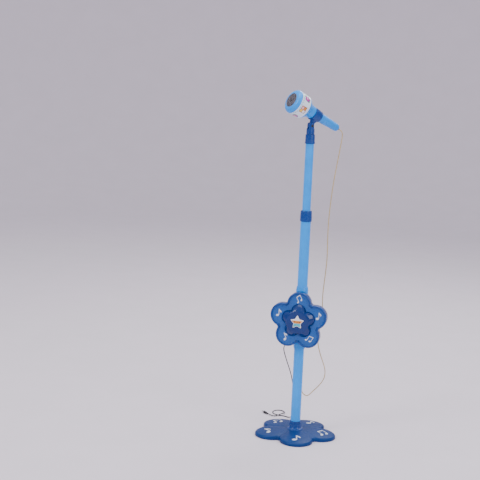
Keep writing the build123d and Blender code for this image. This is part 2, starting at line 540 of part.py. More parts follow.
def battery_parts():
    cells = []
    contacts = []
    middle = BAY_CENTRE[0]
    for number in range(4):
        height = BAY_CENTRE[1] + CELL_PITCH * (number - 1.5)
        flip = 1 if number % 2 == 0 else -1
        at = Plane(origin=(middle, CELL_DEPTH, height), x_dir=(0, 1, 0), z_dir=(flip, 0, 0))
        spring_length = BAY_LENGTH - CELL_BODY - CELL_BUTTON - 0.8
        flat_end = -BAY_LENGTH / 2 + 0.4 + spring_length
        cell = rod(CELL_RADIUS, flat_end, flat_end + CELL_BODY)
        cell += rod(2.7, flat_end + CELL_BODY, flat_end + CELL_BODY + CELL_BUTTON)
        cells.append(at * cell)
        for end in (-BAY_LENGTH / 2, BAY_LENGTH / 2 - 0.4):
            contacts.append(at * block((-5, -6, end), (5, 6, end + 0.4)))
        coil = Helix(pitch=2.1, height=spring_length - 1.2, radius=3.4)
        wire = Plane(origin=coil @ 0, z_dir=coil % 0) * Circle(0.35)
        spring = sweep(wire, path=coil, is_frenet=True)
        contacts.append(at * Pos(0, 0, -BAY_LENGTH / 2 + 1.0) * spring)
    save("batteries", group(cells))
    save("battery_contacts", group(contacts))

    tube_end = BOX_BACK - BOX_WALL
    width = DOOR_WIDTH / 2 - DOOR_GAP
    height = DOOR_HEIGHT / 2 - DOOR_GAP
    door = block((DOOR_CENTRE[0] - width, tube_end + 0.1, DOOR_CENTRE[1] - height),
                 (DOOR_CENTRE[0] + width, BOX_BACK, DOOR_CENTRE[1] + height))
    at = Plane(origin=(DOOR_SCREW[0], BOX_BACK, DOOR_SCREW[1]), x_dir=(1, 0, 0), z_dir=(0, -1, 0))
    door -= at * rod(2.4, -1, 1.3)
    door -= at * rod(1.5, -1, 4)
    save("battery_door", door)
    save("battery_door_screw", at * Pos(0, 0, 1.3) * screw(2.2, 1.2, 1.2, 7))


def inner_wires():
    """Leads from the board to the loudspeaker, the cells and the volume control."""
    routes = [((46, 2.0, -10), (34, -2, -18), (24, -8, -24), (20, -13, -20)),
              ((49, 2.0, -10), (37, -5, -21), (26, -11, -28), (20, -16, -24)),
              ((44, 2.0, -12.5), (34, 0.2, -30), (18, 2, -38), (10.6, 8, -43.2)),
              ((50, 2.0, 20), (44, -3, 32), (34, -1.5, 40), (31.8, 0.2, 32))]
    wires = []
    for route in routes:
        path = Pos(0, 0, SPEAKER_HEIGHT) * FilletPolyline(*route, radius=2.5)
        wires.append(sweep(Plane(origin=path @ 0, z_dir=path % 0) * Circle(0.6), path=path))
    save("inner_wires", group(wires))


# ---- Cords ------------------------------------------------------------------------
MIC_CORD_START = MIC_FACE - MIC_FORWARD * (MIC_LENGTH + 6)
MIC_CORD_ROUTE = [
    MIC_CORD_START, MIC_CORD_START - MIC_FORWARD * 13, (85.5, 91, 965), (83, 91, 942), (78, 89, 903),
    (71, 85, 851), (65, 81, 797), (61, 78.5, 742), (58.5, 75.5, 687), (59, 74, 632), (61.5, 72.5, 579),
    (60, 70, 532), (57, 66.5, 488), (55, 63, 448), (57, 59.5, 410), (56, 58, 370), (51, 58, 330),
    (47.5, 59.5, 294), (56, 63.5, 259), (66, 68.5, 231), (74.5, 72, 206), (75.5, 73.5, 181),
    (66.5, 71.5, 160), (51.5, 67.5, 141), (36.5, 63, 126), (25.5, 59.5, 112.5), (11.5, 55.5, 116),
    (1.5, 52, 135), (-6, 49, 163), (-9.5, 47, 197), (-8, 47, 233), (-2.5, 49.5, 268), (6.5, 55.5, 300),
    (17, 60.5, 326), (28.5, 66.5, 346.5), (38.5, 70, 362), (JACK_X, PLUG_GRIP_END + 16, MIC_JACK_HEIGHT),
    (JACK_X, PLUG_GRIP_END, MIC_JACK_HEIGHT),
]
AUX_CORD_ROUTE = [
    (JACK_X, PLUG_GRIP_END, AUX_JACK_HEIGHT), (JACK_X, PLUG_GRIP_END + 17, AUX_JACK_HEIGHT), (48, 73, 378),
    (52, 77, 358), (48, 75, 339), (37, 71, 322.5), (21, 66.5, 311), (2, 61.5, 304), (-17, 55.5, 300.5),
    (-35, 50, 296), (-50.5, 45, 287), (-59.5, 42, 273), (-59, 42.5, 260), (-54, 45.5, 242),
    (-47.5, 49.5, 221), (-40.5, 54, 200), (-34.5, 59, 179), (-30, 65.5, 154), (-27, 73.5, 128),
    (-26, 84, 102), (-27.5, 96, 77), (-29.5, 109, 54), (-34, 122.5, 34), (-39.5, 135.5, 17), (-46.5, 147, 6),
    (-56.5, 156.5, 1.9), (-69.5, 163.5, 1.7), (-85, 166.5, 1.6), (-101.5, 169.5, 1.5), (-114, 178.5, 1.5),
    (-121, 193, 1.5), (-119.5, 211, 1.5), (-109.5, 223.5, 1.5), (-95, 223, 1.6), (-84, 212.5, 1.9),
    (-79, 197, 3.2), (-79, 181.5, 6.4), (-83.5, 168.5, 7.6), (-90.5, 158.5, 5.2), (-100, 151, 2.6),
    (-111, 148.5, 2.8), (-121, 154.5, 4), (-129.5, 162, 4),
]


def corner_radii(route):
    radii = []
    for before, corner, after in zip(route, route[1:], route[2:]):
        first = Vector(corner) - Vector(before)
        second = Vector(after) - Vector(corner)
        turn = radians(first.get_angle(second))
        radii.append(0.45 * min(first.length, second.length) / tan(turn / 2))
    return radii


def cord(node, route):
    """A cord's tube: straight runs joined by tangent arcs as large as the runs allow."""
    radii = corner_radii(route)
    path = FilletPolyline(*route, radius=radii)
    tube = sweep(Plane(origin=path @ 0, z_dir=path % 0) * Circle(CORD_DIAMETER / 2), path=path)
    full = pi * CORD_DIAMETER ** 2 / 4 * path.length
    runs = [(Vector(after) - Vector(before)).length for before, after in zip(route, route[1:])]
    print(f"{node}: length {path.length:.0f}, smallest radius {min(radii):.1f}, "
          f"runs {min(runs):.0f} to {max(runs):.0f}, volume ratio {tube.volume / full:.4f}")
    print("  radii", [round(radius, 1) for radius in radii])
    save(node, tube)


def plug(prefix, at):
    """3.5 mm plug: at's origin is the face where grip and pin meet, and +Z runs along the pin."""
    grip_length = PLUG_GRIP_END - JACK_FACE
    grip = turned((0, 0), (3.6, 0), (4.0, -0.6), (4.0, -13), (3.0, -15), (2.6, -grip_length + 0.5),
                  (2.1, -grip_length), (0, -grip_length))
    pin = turned((0, 0), (PLUG_PIN_RADIUS, 0), (PLUG_PIN_RADIUS, PLUG_PIN_LENGTH - 3.6),
                 (1.2, PLUG_PIN_LENGTH - 3), (1.7, PLUG_PIN_LENGTH - 2), (0.7, PLUG_PIN_LENGTH),
                 (0, PLUG_PIN_LENGTH))
    save(f"{prefix}_grip", at * grip)
    save(f"{prefix}_pin", at * pin)


def cords():
    cord("mic_cord", MIC_CORD_ROUTE)
    cord("aux_cord", AUX_CORD_ROUTE)
    for prefix, height in (("mic_plug", MIC_JACK_HEIGHT), ("aux_plug_speaker", AUX_JACK_HEIGHT)):
        plug(prefix, Plane(origin=(JACK_X, JACK_FACE, height), x_dir=(1, 0, 0), z_dir=(0, -1, 0)))
    end = Vector(AUX_CORD_ROUTE[-1])
    along = (end - Vector(AUX_CORD_ROUTE[-2])).normalized()
    face = end + along * (PLUG_GRIP_END - JACK_FACE)
    plug("aux_plug_player", Plane(origin=face, x_dir=(0, 0, 1), z_dir=along))


base_parts()
pole_parts()
head_of_stand()
microphone_parts()
speaker_shells()
dome_parts()
driver_parts()
electronics()
battery_parts()
inner_wires()
cords()
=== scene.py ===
import json
from math import atan2, cos, exp, hypot, pi, radians, sin, sqrt

import bmesh
import bpy
from mathutils import Matrix, Vector


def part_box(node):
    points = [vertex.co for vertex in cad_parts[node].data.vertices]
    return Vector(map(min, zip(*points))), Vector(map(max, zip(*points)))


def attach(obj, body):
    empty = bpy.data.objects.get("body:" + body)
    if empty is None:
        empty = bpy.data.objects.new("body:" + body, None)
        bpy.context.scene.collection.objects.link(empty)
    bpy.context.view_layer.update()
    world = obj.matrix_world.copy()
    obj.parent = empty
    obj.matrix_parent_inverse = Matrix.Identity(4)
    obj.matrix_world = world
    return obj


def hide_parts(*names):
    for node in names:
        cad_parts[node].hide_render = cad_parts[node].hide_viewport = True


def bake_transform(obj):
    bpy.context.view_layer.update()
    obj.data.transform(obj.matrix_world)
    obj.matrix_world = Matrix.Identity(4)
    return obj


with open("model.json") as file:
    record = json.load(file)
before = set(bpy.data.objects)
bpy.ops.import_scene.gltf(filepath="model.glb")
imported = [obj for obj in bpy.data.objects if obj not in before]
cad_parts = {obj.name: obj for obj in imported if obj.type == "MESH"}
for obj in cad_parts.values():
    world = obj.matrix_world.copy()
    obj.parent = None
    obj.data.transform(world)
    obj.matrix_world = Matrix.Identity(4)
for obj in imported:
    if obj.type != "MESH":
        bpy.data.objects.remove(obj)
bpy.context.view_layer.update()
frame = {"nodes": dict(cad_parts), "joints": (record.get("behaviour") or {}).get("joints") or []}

# Toy microphone on a telescoping stand. Profiles are in millimetres, objects in metres.
MM = 0.001
SCENE = bpy.context.scene.collection
PETALS = 5
PETAL_STEP = 2 * pi / PETALS


def add_object(name, data):
    piece = bpy.data.objects.new(name, data)
    SCENE.objects.link(piece)
    return piece


def smooth(mesh):
    mesh.polygons.foreach_set("use_smooth", [True] * len(mesh.polygons))


def clamp(value):
    return min(1, max(0, value))


def circle(radius, steps):
    """Points (x, y) of a circle round the origin."""
    return [(radius * cos(2 * pi * n / steps), radius * sin(2 * pi * n / steps)) for n in range(steps)]


# ---- Places taken from the frame ----
def axes(origin, x_axis, z_axis):
    """Matrix that puts millimetre shapes at a place in the row frame."""
    x_axis = Vector(x_axis).normalized()
    z_axis = Vector(z_axis).normalized()
    y_axis = z_axis.cross(x_axis)
    turn = Matrix((x_axis, y_axis, z_axis)).transposed().to_4x4()
    return Matrix.Translation(origin) @ turn @ Matrix.Scale(MM, 4)


def middle(node):
    low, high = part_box(node)
    return (low + high) / 2


def top(node):
    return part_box(node)[1].z / MM


def bottom(node):
    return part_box(node)[0].z / MM


joints = {joint["name"]: joint for joint in frame["joints"]}
PIVOT = Vector(joints["clip_tilt"]["pos_m"])
TILT_AXIS = Vector(joints["clip_tilt"]["axis"]).normalized()
MIC_FORWARD = Vector(joints["mic_release"]["axis"]).normalized()
MIC_UP = TILT_AXIS.cross(MIC_FORWARD)
MIC_OFFSET = 38.0
CLIP_STATION = 103.0
CLIP_LENGTH = 30.0
MIC_LENGTH = 200.0
RELIEF_END = 206.0
MIC_FACE = PIVOT + (MIC_UP * MIC_OFFSET + MIC_FORWARD * CLIP_STATION) * MM
BOX_CENTRE = Vector((0, 0, middle("driver_magnet").z))

WORLD = axes((0, 0, 0), (1, 0, 0), (0, 0, 1))
FRONT = axes(BOX_CENTRE, (1, 0, 0), (0, -1, 0))
MIC = axes(MIC_FACE, TILT_AXIS, -MIC_FORWARD)
NECK = axes(PIVOT, TILT_AXIS, (0, 0, 1))


# ---- Camera ----
CAMERA_PLACE = (0.685, -3.368, 1.13)
CAMERA_LENS = 82.5
CAMERA_YAW = radians(14.9)
CAMERA_PITCH = radians(8.38)
CAMERA_ROLL = radians(2.5)


def camera():
    data = bpy.data.cameras.new("camera")
    data.lens = CAMERA_LENS
    data.sensor_width = 36.0
    data.clip_end = 60.0
    piece = add_object("camera", data)
    turn = Matrix.Rotation(CAMERA_YAW, 4, "Z") @ Matrix.Rotation(pi / 2 - CAMERA_PITCH, 4, "X")
    piece.matrix_world = Matrix.Translation(CAMERA_PLACE) @ turn @ Matrix.Rotation(CAMERA_ROLL, 4, "Z")
    bpy.context.scene.camera = piece


# ---- Materials ----
def linear(colour):
    """Linear colour of 8-bit sRGB values."""
    parts = [value / 255 for value in colour]
    parts = [part / 12.92 if part <= 0.04045 else ((part + 0.055) / 1.055) ** 2.4 for part in parts]
    return (*parts, 1.0)


def set_inputs(node, values):
    for socket, value in values.items():
        node.inputs[socket.replace("_", " ")].default_value = value


def add_node(tree, kind, **values):
    node = tree.nodes.new(kind)
    set_inputs(node, values)
    return node


def noise_output(tree, scale, detail=3.0, stretch=(1, 1, 1)):
    """Output socket of a noise in object space."""
    coordinates = add_node(tree, "ShaderNodeTexCoord")
    mapping = add_node(tree, "ShaderNodeMapping", Scale=stretch)
    noise = add_node(tree, "ShaderNodeTexNoise", Scale=scale, Detail=detail)
    tree.links.new(coordinates.outputs["Object"], mapping.inputs["Vector"])
    tree.links.new(mapping.outputs["Vector"], noise.inputs["Vector"])
    return noise.outputs["Fac"]


NOISE_LOW = 0.3
NOISE_HIGH = 0.7
GLOSS_SCALE = 160.0
LEAST_ROUGHNESS = 0.02


def surface(name, colour, roughness, metallic=0.0, shade=0.07, shade_scale=35.0, grain=0.00004,
        grain_scale=1400.0, spread=0.08, scratch=(1, 1, 1), **sockets):
    """Shader with uneven colour, uneven gloss and a fine moulded or drawn grain."""
    material = bpy.data.materials.new(name)
    material.use_nodes = True
    tree = material.node_tree
    join = tree.links.new
    shader = tree.nodes["Principled BSDF"]
    ramp = add_node(tree, "ShaderNodeValToRGB")
    ends = ((NOISE_LOW, 1 - shade), (NOISE_HIGH, 1 + shade))
    for element, (position, factor) in zip(ramp.color_ramp.elements, ends):
        element.position = position
        element.color = [min(1, value * factor) for value in linear(colour)[:3]] + [1]
    join(noise_output(tree, shade_scale), ramp.inputs["Fac"])
    join(ramp.outputs["Color"], shader.inputs["Base Color"])
    gloss = add_node(tree, "ShaderNodeMapRange", From_Min=NOISE_LOW, From_Max=NOISE_HIGH,
        To_Min=max(LEAST_ROUGHNESS, roughness - spread), To_Max=roughness + spread)
    join(noise_output(tree, GLOSS_SCALE, 6.0, scratch), gloss.inputs["Value"])
    join(gloss.outputs["Result"], shader.inputs["Roughness"])
    bump = add_node(tree, "ShaderNodeBump", Strength=0.5, Distance=grain)
    join(noise_output(tree, grain_scale, 2.0, scratch), bump.inputs["Height"])
    join(bump.outputs["Normal"], shader.inputs["Normal"])
    set_inputs(shader, {"Metallic": metallic, **sockets})
    return material


def plastic(name, colour, roughness=0.26, coat=0.16, specular=0.3, **more):
    return surface(name, colour, roughness, Coat_Weight=coat, Coat_Roughness=0.12,
        Specular_IOR_Level=specular, **more)


SKY = plastic("sky_blue_plastic", (0, 140, 230))
TUBE = plastic("tube_plastic", (0, 148, 238), 0.28, scratch=(1, 1, 0.05), spread=0.1)
NAVY = plastic("navy_plastic", (2, 60, 132))
BASE_BLUE = plastic("base_plastic", (0, 50, 110), 0.42, coat=0.0, specular=0.2, shade=0.1, shade_scale=18.0)
FLOWER_BLUE = plastic("flower_plastic", (24, 84, 156), 0.3, shade=0.06)
RIM_BLUE = plastic("rim_plastic", (4, 62, 132), 0.24)
DISH_BLUE = plastic("dish_plastic", (4, 44, 106), 0.12, spread=0.04, grain=0.00001)
WHITE = plastic("white_print", (232, 234, 240), 0.32)
SILVER = surface("silver_print", (214, 218, 228), 0.34, 0.35, shade=0.12, shade_scale=220.0)
BAND = plastic("band_plastic", (218, 230, 240), 0.3)
METAL = surface("grille_metal", (128, 124, 134), 0.36, 0.9, shade=0.35, shade_scale=420.0)
STEEL = surface("bright_steel", (196, 198, 204), 0.3, 1.0, scratch=(1, 6, 1))
NICKEL = surface("nickel", (206, 204, 196), 0.2, 1.0, shade=0.05)
MAGNET = surface("magnet_metal", (86, 88, 92), 0.4, 0.8, shade=0.2)
BLACK = surface("black_plastic", (20, 20, 23), 0.42, grain=0.00008, Coat_Weight=0.1)
FOAM = surface("black_foam", (26, 25, 27), 0.95, grain=0.0006, grain_scale=900.0, shade=0.4,
    shade_scale=900.0)
PAPER = surface("cone_paper", (48, 46, 46), 0.85, grain=0.0003, grain_scale=600.0, shade=0.25,
    shade_scale=300.0)
BOARD = surface("circuit_board", (24, 104, 60), 0.4, shade=0.18, shade_scale=400.0)
CELL = surface("cell_wrap", (38, 62, 132), 0.28, 0.3, shade=0.12, shade_scale=90.0)
WIRE = surface("wire_red", (178, 32, 30), 0.38, shade=0.1)
TAN_CORD = surface("tan_cord", (196, 168, 112), 0.4, shade=0.16, shade_scale=140.0, grain=0.00012,
    Subsurface_Weight=0.1, Subsurface_Radius=(0.002, 0.0015, 0.001), Coat_Weight=0.3)
BLACK_CORD = surface("black_cord", (24, 23, 25), 0.44, shade=0.2, shade_scale=140.0, grain=0.0001)
ORANGE = plastic("orange_print", (214, 134, 52), 0.34)
BROWN = plastic("brown_print", (150, 82, 44), 0.36)
YELLOW = plastic("yellow_print", (238, 200, 74), 0.34)
PINK = plastic("pink_print", (236, 176, 184), 0.34)
TEAL = plastic("teal_print", (58, 172, 192), 0.32)
MAGENTA = plastic("magenta_print", (190, 46, 146), 0.32)
PURPLE = plastic("purple_print", (112, 66, 150), 0.32)
GREEN = plastic("green_print", (96, 164, 96), 0.34)


# ---- Mesh helpers ----
WELD_DISTANCE = 0.002
LEAST_EDGE = 0.001
LEAST_TURN = radians(4)
LARGEST_CUT = 0.42  # share of a flank that the rounding of one corner may take


def piece_from(name, mesh_builder, matrix, material, body, replaced=()):
    """Object made from a bmesh in millimetres, placed by matrix and riding a body."""
    bmesh.ops.remove_doubles(mesh_builder, verts=mesh_builder.verts, dist=WELD_DISTANCE)
    bmesh.ops.dissolve_degenerate(mesh_builder, dist=LEAST_EDGE, edges=mesh_builder.edges)
    bmesh.ops.recalc_face_normals(mesh_builder, faces=mesh_builder.faces)
    mesh = bpy.data.meshes.new(name)
    mesh_builder.to_mesh(mesh)
    mesh_builder.free()
    mesh.transform(matrix)
    if matrix.determinant() < 0:
        mesh.flip_normals()
    mesh.materials.append(material)
    smooth(mesh)
    piece = add_object(name, mesh)
    if body:
        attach(piece, body)
    if replaced:
        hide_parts(*replaced)
    return piece


def apply_modifier(piece, kind, **settings):
    modifier = piece.modifiers.new(kind.lower(), kind)
    for key, value in settings.items():
        setattr(modifier, key, value)
    graph = bpy.context.evaluated_depsgraph_get()
    shaped = bpy.data.meshes.new_from_object(piece.evaluated_get(graph))
    piece.modifiers.clear()
    old = piece.data
    piece.data = shaped
    bpy.data.meshes.remove(old)


def cut(piece, cutter, matrix, material):
    """Take a solid away from a piece."""
    tool = piece_from("cutter", cutter, matrix, material, None)
    apply_modifier(piece, "BOOLEAN", operation="DIFFERENCE", solver="EXACT", object=tool)
    bpy.data.objects.remove(tool)


def rounded(corners, radius, closed):
    """Outline through (r, z) corners with each corner rounded and its flanks supported."""
    points = []
    count = len(corners)
    for number, corner in enumerate(corners):
        here = Vector(corner[:2])
        if not closed and number in (0, count - 1):
            points.append(here)
            continue
        before = Vector(corners[number - 1][:2]) - here
        after = Vector(corners[(number + 1) % count][:2]) - here
        turn = pi - before.angle(after)
        own = corner[2] if len(corner) > 2 else radius
        bend = own * sin(turn / 2) / max(cos(turn / 2), 0.05)
        cut_length = min(bend, LARGEST_CUT * before.length, LARGEST_CUT * after.length)
        if cut_length < 0.01 or turn < LEAST_TURN:
            points.append(here)
            continue
        into = before.normalized()
        out = after.normalized()
        support = cut_length + 0.25 * cut_length
        points.append(here + into * min(support, 0.49 * before.length))
        for step in range(5):
            t = step / 4
            points.append(here + into * (cut_length * (1 - t) ** 2) + out * (cut_length * t ** 2))
        points.append(here + out * min(support, 0.49 * after.length))
    return points


def arc(start, through, end, steps):
    """Points of the circular arc through three (r, z) points."""
    ax, ay = start
    bx, by = through
    cx, cy = end
    scale = 2 * (ax * (by - cy) + bx * (cy - ay) + cx * (ay - by))
    a2, b2, c2 = ax * ax + ay * ay, bx * bx + by * by, cx * cx + cy * cy
    centre = Vector(((a2 * (by - cy) + b2 * (cy - ay) + c2 * (ay - by)) / scale,
        (a2 * (cx - bx) + b2 * (ax - cx) + c2 * (bx - ax)) / scale))
    first = Vector(start) - centre
    last = Vector(end) - centre
    sweep = first.angle_signed(last)
    return [tuple(centre + Matrix.Rotation(-sweep * step / steps, 2) @ first) for step in range(steps + 1)]


def is_full_turn(sweep):
    return abs(sweep - 2 * pi) < 1e-6


def lathe_mesh(corners, closed=True, radius=0.4, segments=96, ripple=None, builder=None, start=0.0,
        sweep=2 * pi):
    """Solid of revolution about Z. ripple(angle, r, z) adds to the radius. A part turn gets flat ends."""
    builder = builder or bmesh.new()
    outline = rounded(corners, radius, closed)
    whole = is_full_turn(sweep)
    columns = []
    for number in range(segments if whole else segments + 1):
        angle = start + sweep * number / segments
        column = []
        for r, z in outline:
            wide = r + (ripple(angle, r, z) if ripple and r > 0 else 0)
            column.append(builder.verts.new((wide * cos(angle), wide * sin(angle), z)))
        columns.append(column)
    last = len(outline) if closed else len(outline) - 1
    for number in range(segments):
        left = columns[number]
        right = columns[(number + 1) % len(columns)]
        for row in range(last):
            below = (row + 1) % len(outline)
            builder.faces.new((left[row], right[row], right[below], left[below]))
    if not whole:
        builder.faces.new(columns[0])
        builder.faces.new(columns[-1])
    return builder


def lathe(name, corners, matrix, material, body, slot, replaced=(), **shape):
    return piece_from(name, lathe_mesh(corners, **shape), matrix, material, body, replaced)


def loft_mesh(rings, builder=None, close_ends=True):
    """Skin over rings with equal numbers of points."""
    builder = builder or bmesh.new()
    rows = [[builder.verts.new(point) for point in ring] for ring in rings]
    for near, far in zip(rows, rows[1:]):
        for number in range(len(near)):
            following = (number + 1) % len(near)
            builder.faces.new((near[number], near[following], far[following], far[number]))
    if close_ends:
        builder.faces.new(rows[0])
        builder.faces.new(rows[-1])
    return builder


def box_mesh(low, high, builder=None):
    builder = builder or bmesh.new()
    rings = [[(low[0], low[1], z), (high[0], low[1], z), (high[0], high[1], z), (low[0], high[1], z)]
        for z in (low[2], high[2])]
    return loft_mesh(rings, builder)


def valley_distance(reach, petal, valley):
    """Distance from the middle to the centre of each valley arc."""
    half = PETAL_STEP / 2
    return reach * cos(half) + sqrt((petal + valley) ** 2 - (reach * sin(half)) ** 2)


def flower(reach, petal, valley, first_angle, inset=0.0, petal_steps=30, valley_steps=10):
    """Outline of five round petals joined by tangent valley arcs, moved inwards by inset."""
    half = PETAL_STEP / 2
    valley_reach = valley_distance(reach, petal, valley)
    valley_centre = Vector((valley_reach * cos(half), valley_reach * sin(half)))
    joint = atan2(valley_centre.y, valley_centre.x - reach)
    points = []
    for number in range(PETALS):
        turn = Matrix.Rotation(first_angle + PETAL_STEP * number, 2)
        for step in range(petal_steps):
            angle = -joint + 2 * joint * step / petal_steps
            points.append(turn @ Vector((reach + (petal - inset) * cos(angle),
                (petal - inset) * sin(angle))))
        for step in range(valley_steps):
            angle = joint + pi + 2 * (half - joint) * step / valley_steps
            offset = Vector((cos(angle), sin(angle))) * (valley + inset)
            points.append(turn @ (valley_centre + offset))
    return points


def petal_centres(reach, first_angle):
    angles = [first_angle + PETAL_STEP * number for number in range(PETALS)]
    return [Vector((reach * cos(angle), reach * sin(angle))) for angle in angles]


def nearest_petal(x, y, reach, first_angle):
    """Distance from a point to the nearest petal centre."""
    return min((Vector((x, y)) - centre).length for centre in petal_centres(reach, first_angle))


def from_valley(x, y, first_angle):
    """Angle between a point and the middle line of its valley."""
    return (atan2(y, x) - first_angle) % PETAL_STEP - PETAL_STEP / 2


def ring_at(outline, height):
    """Ring of points over a flat outline at a height, or at a height worked out for each point."""
    return [(point.x, point.y, height(point.x, point.y) if callable(height) else height)
        for point in outline]


def inset_rings(shape, steps):
    """Rings over a petal outline, one for each (inset, height)."""
    return [ring_at(flower(**shape, inset=inset), height) for inset, height in steps]


def lowered(height, drop):
    """Height function that stays a fixed drop below another."""
    return lambda x, y: height(x, y) - drop


def between(outer, inner, share):
    return [a.lerp(b, share) for a, b in zip(outer, inner)]


def circle_along(outline, radius):
    """Circle with one point in the direction of each outline point."""
    return [point.normalized() * radius for point in outline]


# ---- Prints: thin raised shapes laid on a surface ----
def print_on(name, outlines, surface_point, material, body, lift=0.18, depth=0.35, step=3.0):
    """Flat outlines in (u, v) millimetres, laid on surface_point(u, v, height)."""
    builder = bmesh.new()
    for outline in outlines:
        builder.faces.new([builder.verts.new((u, v, 0)) for u, v in outline])
    builder.normal_update()
    bmesh.ops.triangulate(builder, faces=builder.faces)
    for _ in range(3):
        longest = [edge for edge in builder.edges if edge.calc_length() > step]
        if longest:
            bmesh.ops.subdivide_edges(builder, edges=longest, cuts=1)
            bmesh.ops.triangulate(builder, faces=builder.faces)
    raised = bmesh.ops.extrude_face_region(builder, geom=list(builder.faces))
    lifted = {element for element in raised["geom"] if isinstance(element, bmesh.types.BMVert)}
    for vertex in builder.verts:
        vertex.co = surface_point(vertex.co.x, vertex.co.y, lift if vertex in lifted else -depth)
    return piece_from(name, builder, WORLD, material, body)


def oval(u, v, wide, high, tilt=0.0, start=0.0, end=2 * pi, steps=18):
    points = []
    for step in range(steps + (0 if is_full_turn(end - start) else 1)):
        angle = start + (end - start) * step / steps
        x, y = wide * cos(angle), high * sin(angle)
        points.append((u + x * cos(tilt) - y * sin(tilt), v + x * sin(tilt) + y * cos(tilt)))
    return points


def quaver():
    """Single note: head, stem and a curved flag as one outline about 22 wide and 30 high."""
    head = oval(-4.6, -8.4, 6.2, 4.6, 0.35, radians(30), radians(366), 20)
    stem_and_flag = [(2.4, -6.2), (2.4, 8.4), (6.6, 5.6), (8.4, 0.4), (11.0, 5.6), (9.0, 10.6), (4.6, 13.6),
        (2.4, 17.0), (-0.4, 17.0), (-0.4, -3.6)]
    return [head + stem_and_flag]


def beamed_notes():
    """Pair of notes joined by a slanting beam, as one outline."""
    left = oval(-10.6, -10.6, 4.6, 3.5, 0.35, radians(38), radians(362), 16)
    right = oval(6.6, -7.6, 4.6, 3.5, 0.35, radians(44), radians(362), 16)
    return [left + [(-5.6, -8.8), (-5.6, 9.4), (9.4, 12.4), (9.4, -4.0)] + right
        + [(11.8, -5.8), (11.8, 16.6), (-7.9, 12.6)]]


def turned_outlines(outlines, angle, scale=1.0, shift=(0, 0)):
    turn = Matrix.Rotation(angle, 2)
    return [[tuple(turn @ Vector(point) * scale + Vector(shift)) for point in outline]
        for outline in outlines]


def star_outline(outer, inner, softness, first_angle=pi / 2):
    corners = []
    for number in range(2 * PETALS):
        radius = outer if number % 2 == 0 else inner
        angle = first_angle + pi / PETALS * number
        corners.append((radius * cos(angle), radius * sin(angle)))
    return [Vector(point) for point in rounded(corners, softness, True)]


def clipped(outline, low, high):
    """Part of an outline between two heights."""
    for limit, sign in ((low, 1), (high, -1)):
        kept = []
        for here, after in zip(outline, outline[1:] + outline[:1]):
            inside = sign * (here[1] - limit) >= 0
            leaves = inside != (sign * (after[1] - limit) >= 0)
            if inside:
                kept.append(here)
            if leaves:
                share = (limit - here[1]) / (after[1] - here[1])
                kept.append((here[0] + share * (after[0] - here[0]), limit))
        outline = kept
    return outline


# ---- Base ----
BASE = dict(reach=81.0, petal=52.0, valley=9.0, first_angle=radians(285))
BASE_DOME_TOP = 19.0
BASE_DOME_RADIUS = 1000.0
BASE_EDGE_ROUND = 6.0
BASE_PILLOW = 1.3
CREASE_DEPTH = 1.6
CREASE_WIDTH = 8.0
HUB_RADIUS = 25.0
VALLEY_REACH = 94.7
SOCKET_BORE = 16.05
BASE_NOTE_REACH = 92.0
BASE_NOTE_SCALE = 1.3


def base_height(x, y):
    """Dome with a soft pillow on each petal and a crease from each valley to the hub."""
    radius = hypot(x, y)
    height = BASE_DOME_TOP - radius ** 2 / (2 * BASE_DOME_RADIUS)
    nearest = nearest_petal(x, y, BASE["reach"], BASE["first_angle"])
    pillow = max(0.0, 1 - (nearest / BASE["petal"]) ** 2)
    across = radius * sin(from_valley(x, y, BASE["first_angle"]))
    reach = clamp((radius - HUB_RADIUS) / (VALLEY_REACH - HUB_RADIUS))
    crease = CREASE_DEPTH * exp(-(across / CREASE_WIDTH) ** 2) * reach ** 0.8
    return height + BASE_PILLOW * pillow * reach - crease


def grip_ribs(count, depth, low, high, least_radius, run_in=1.5, run_out=1.5, power=4):
    """Ripple of upright grooves between two heights; a negative depth raises ribs."""
    def ripple(angle, r, z):
        if r < least_radius:
            return 0
        fade = clamp((z - low) / run_in) * clamp((high - z) / run_out)
        return -depth * fade * max(0, cos(count * angle)) ** power
    return ripple


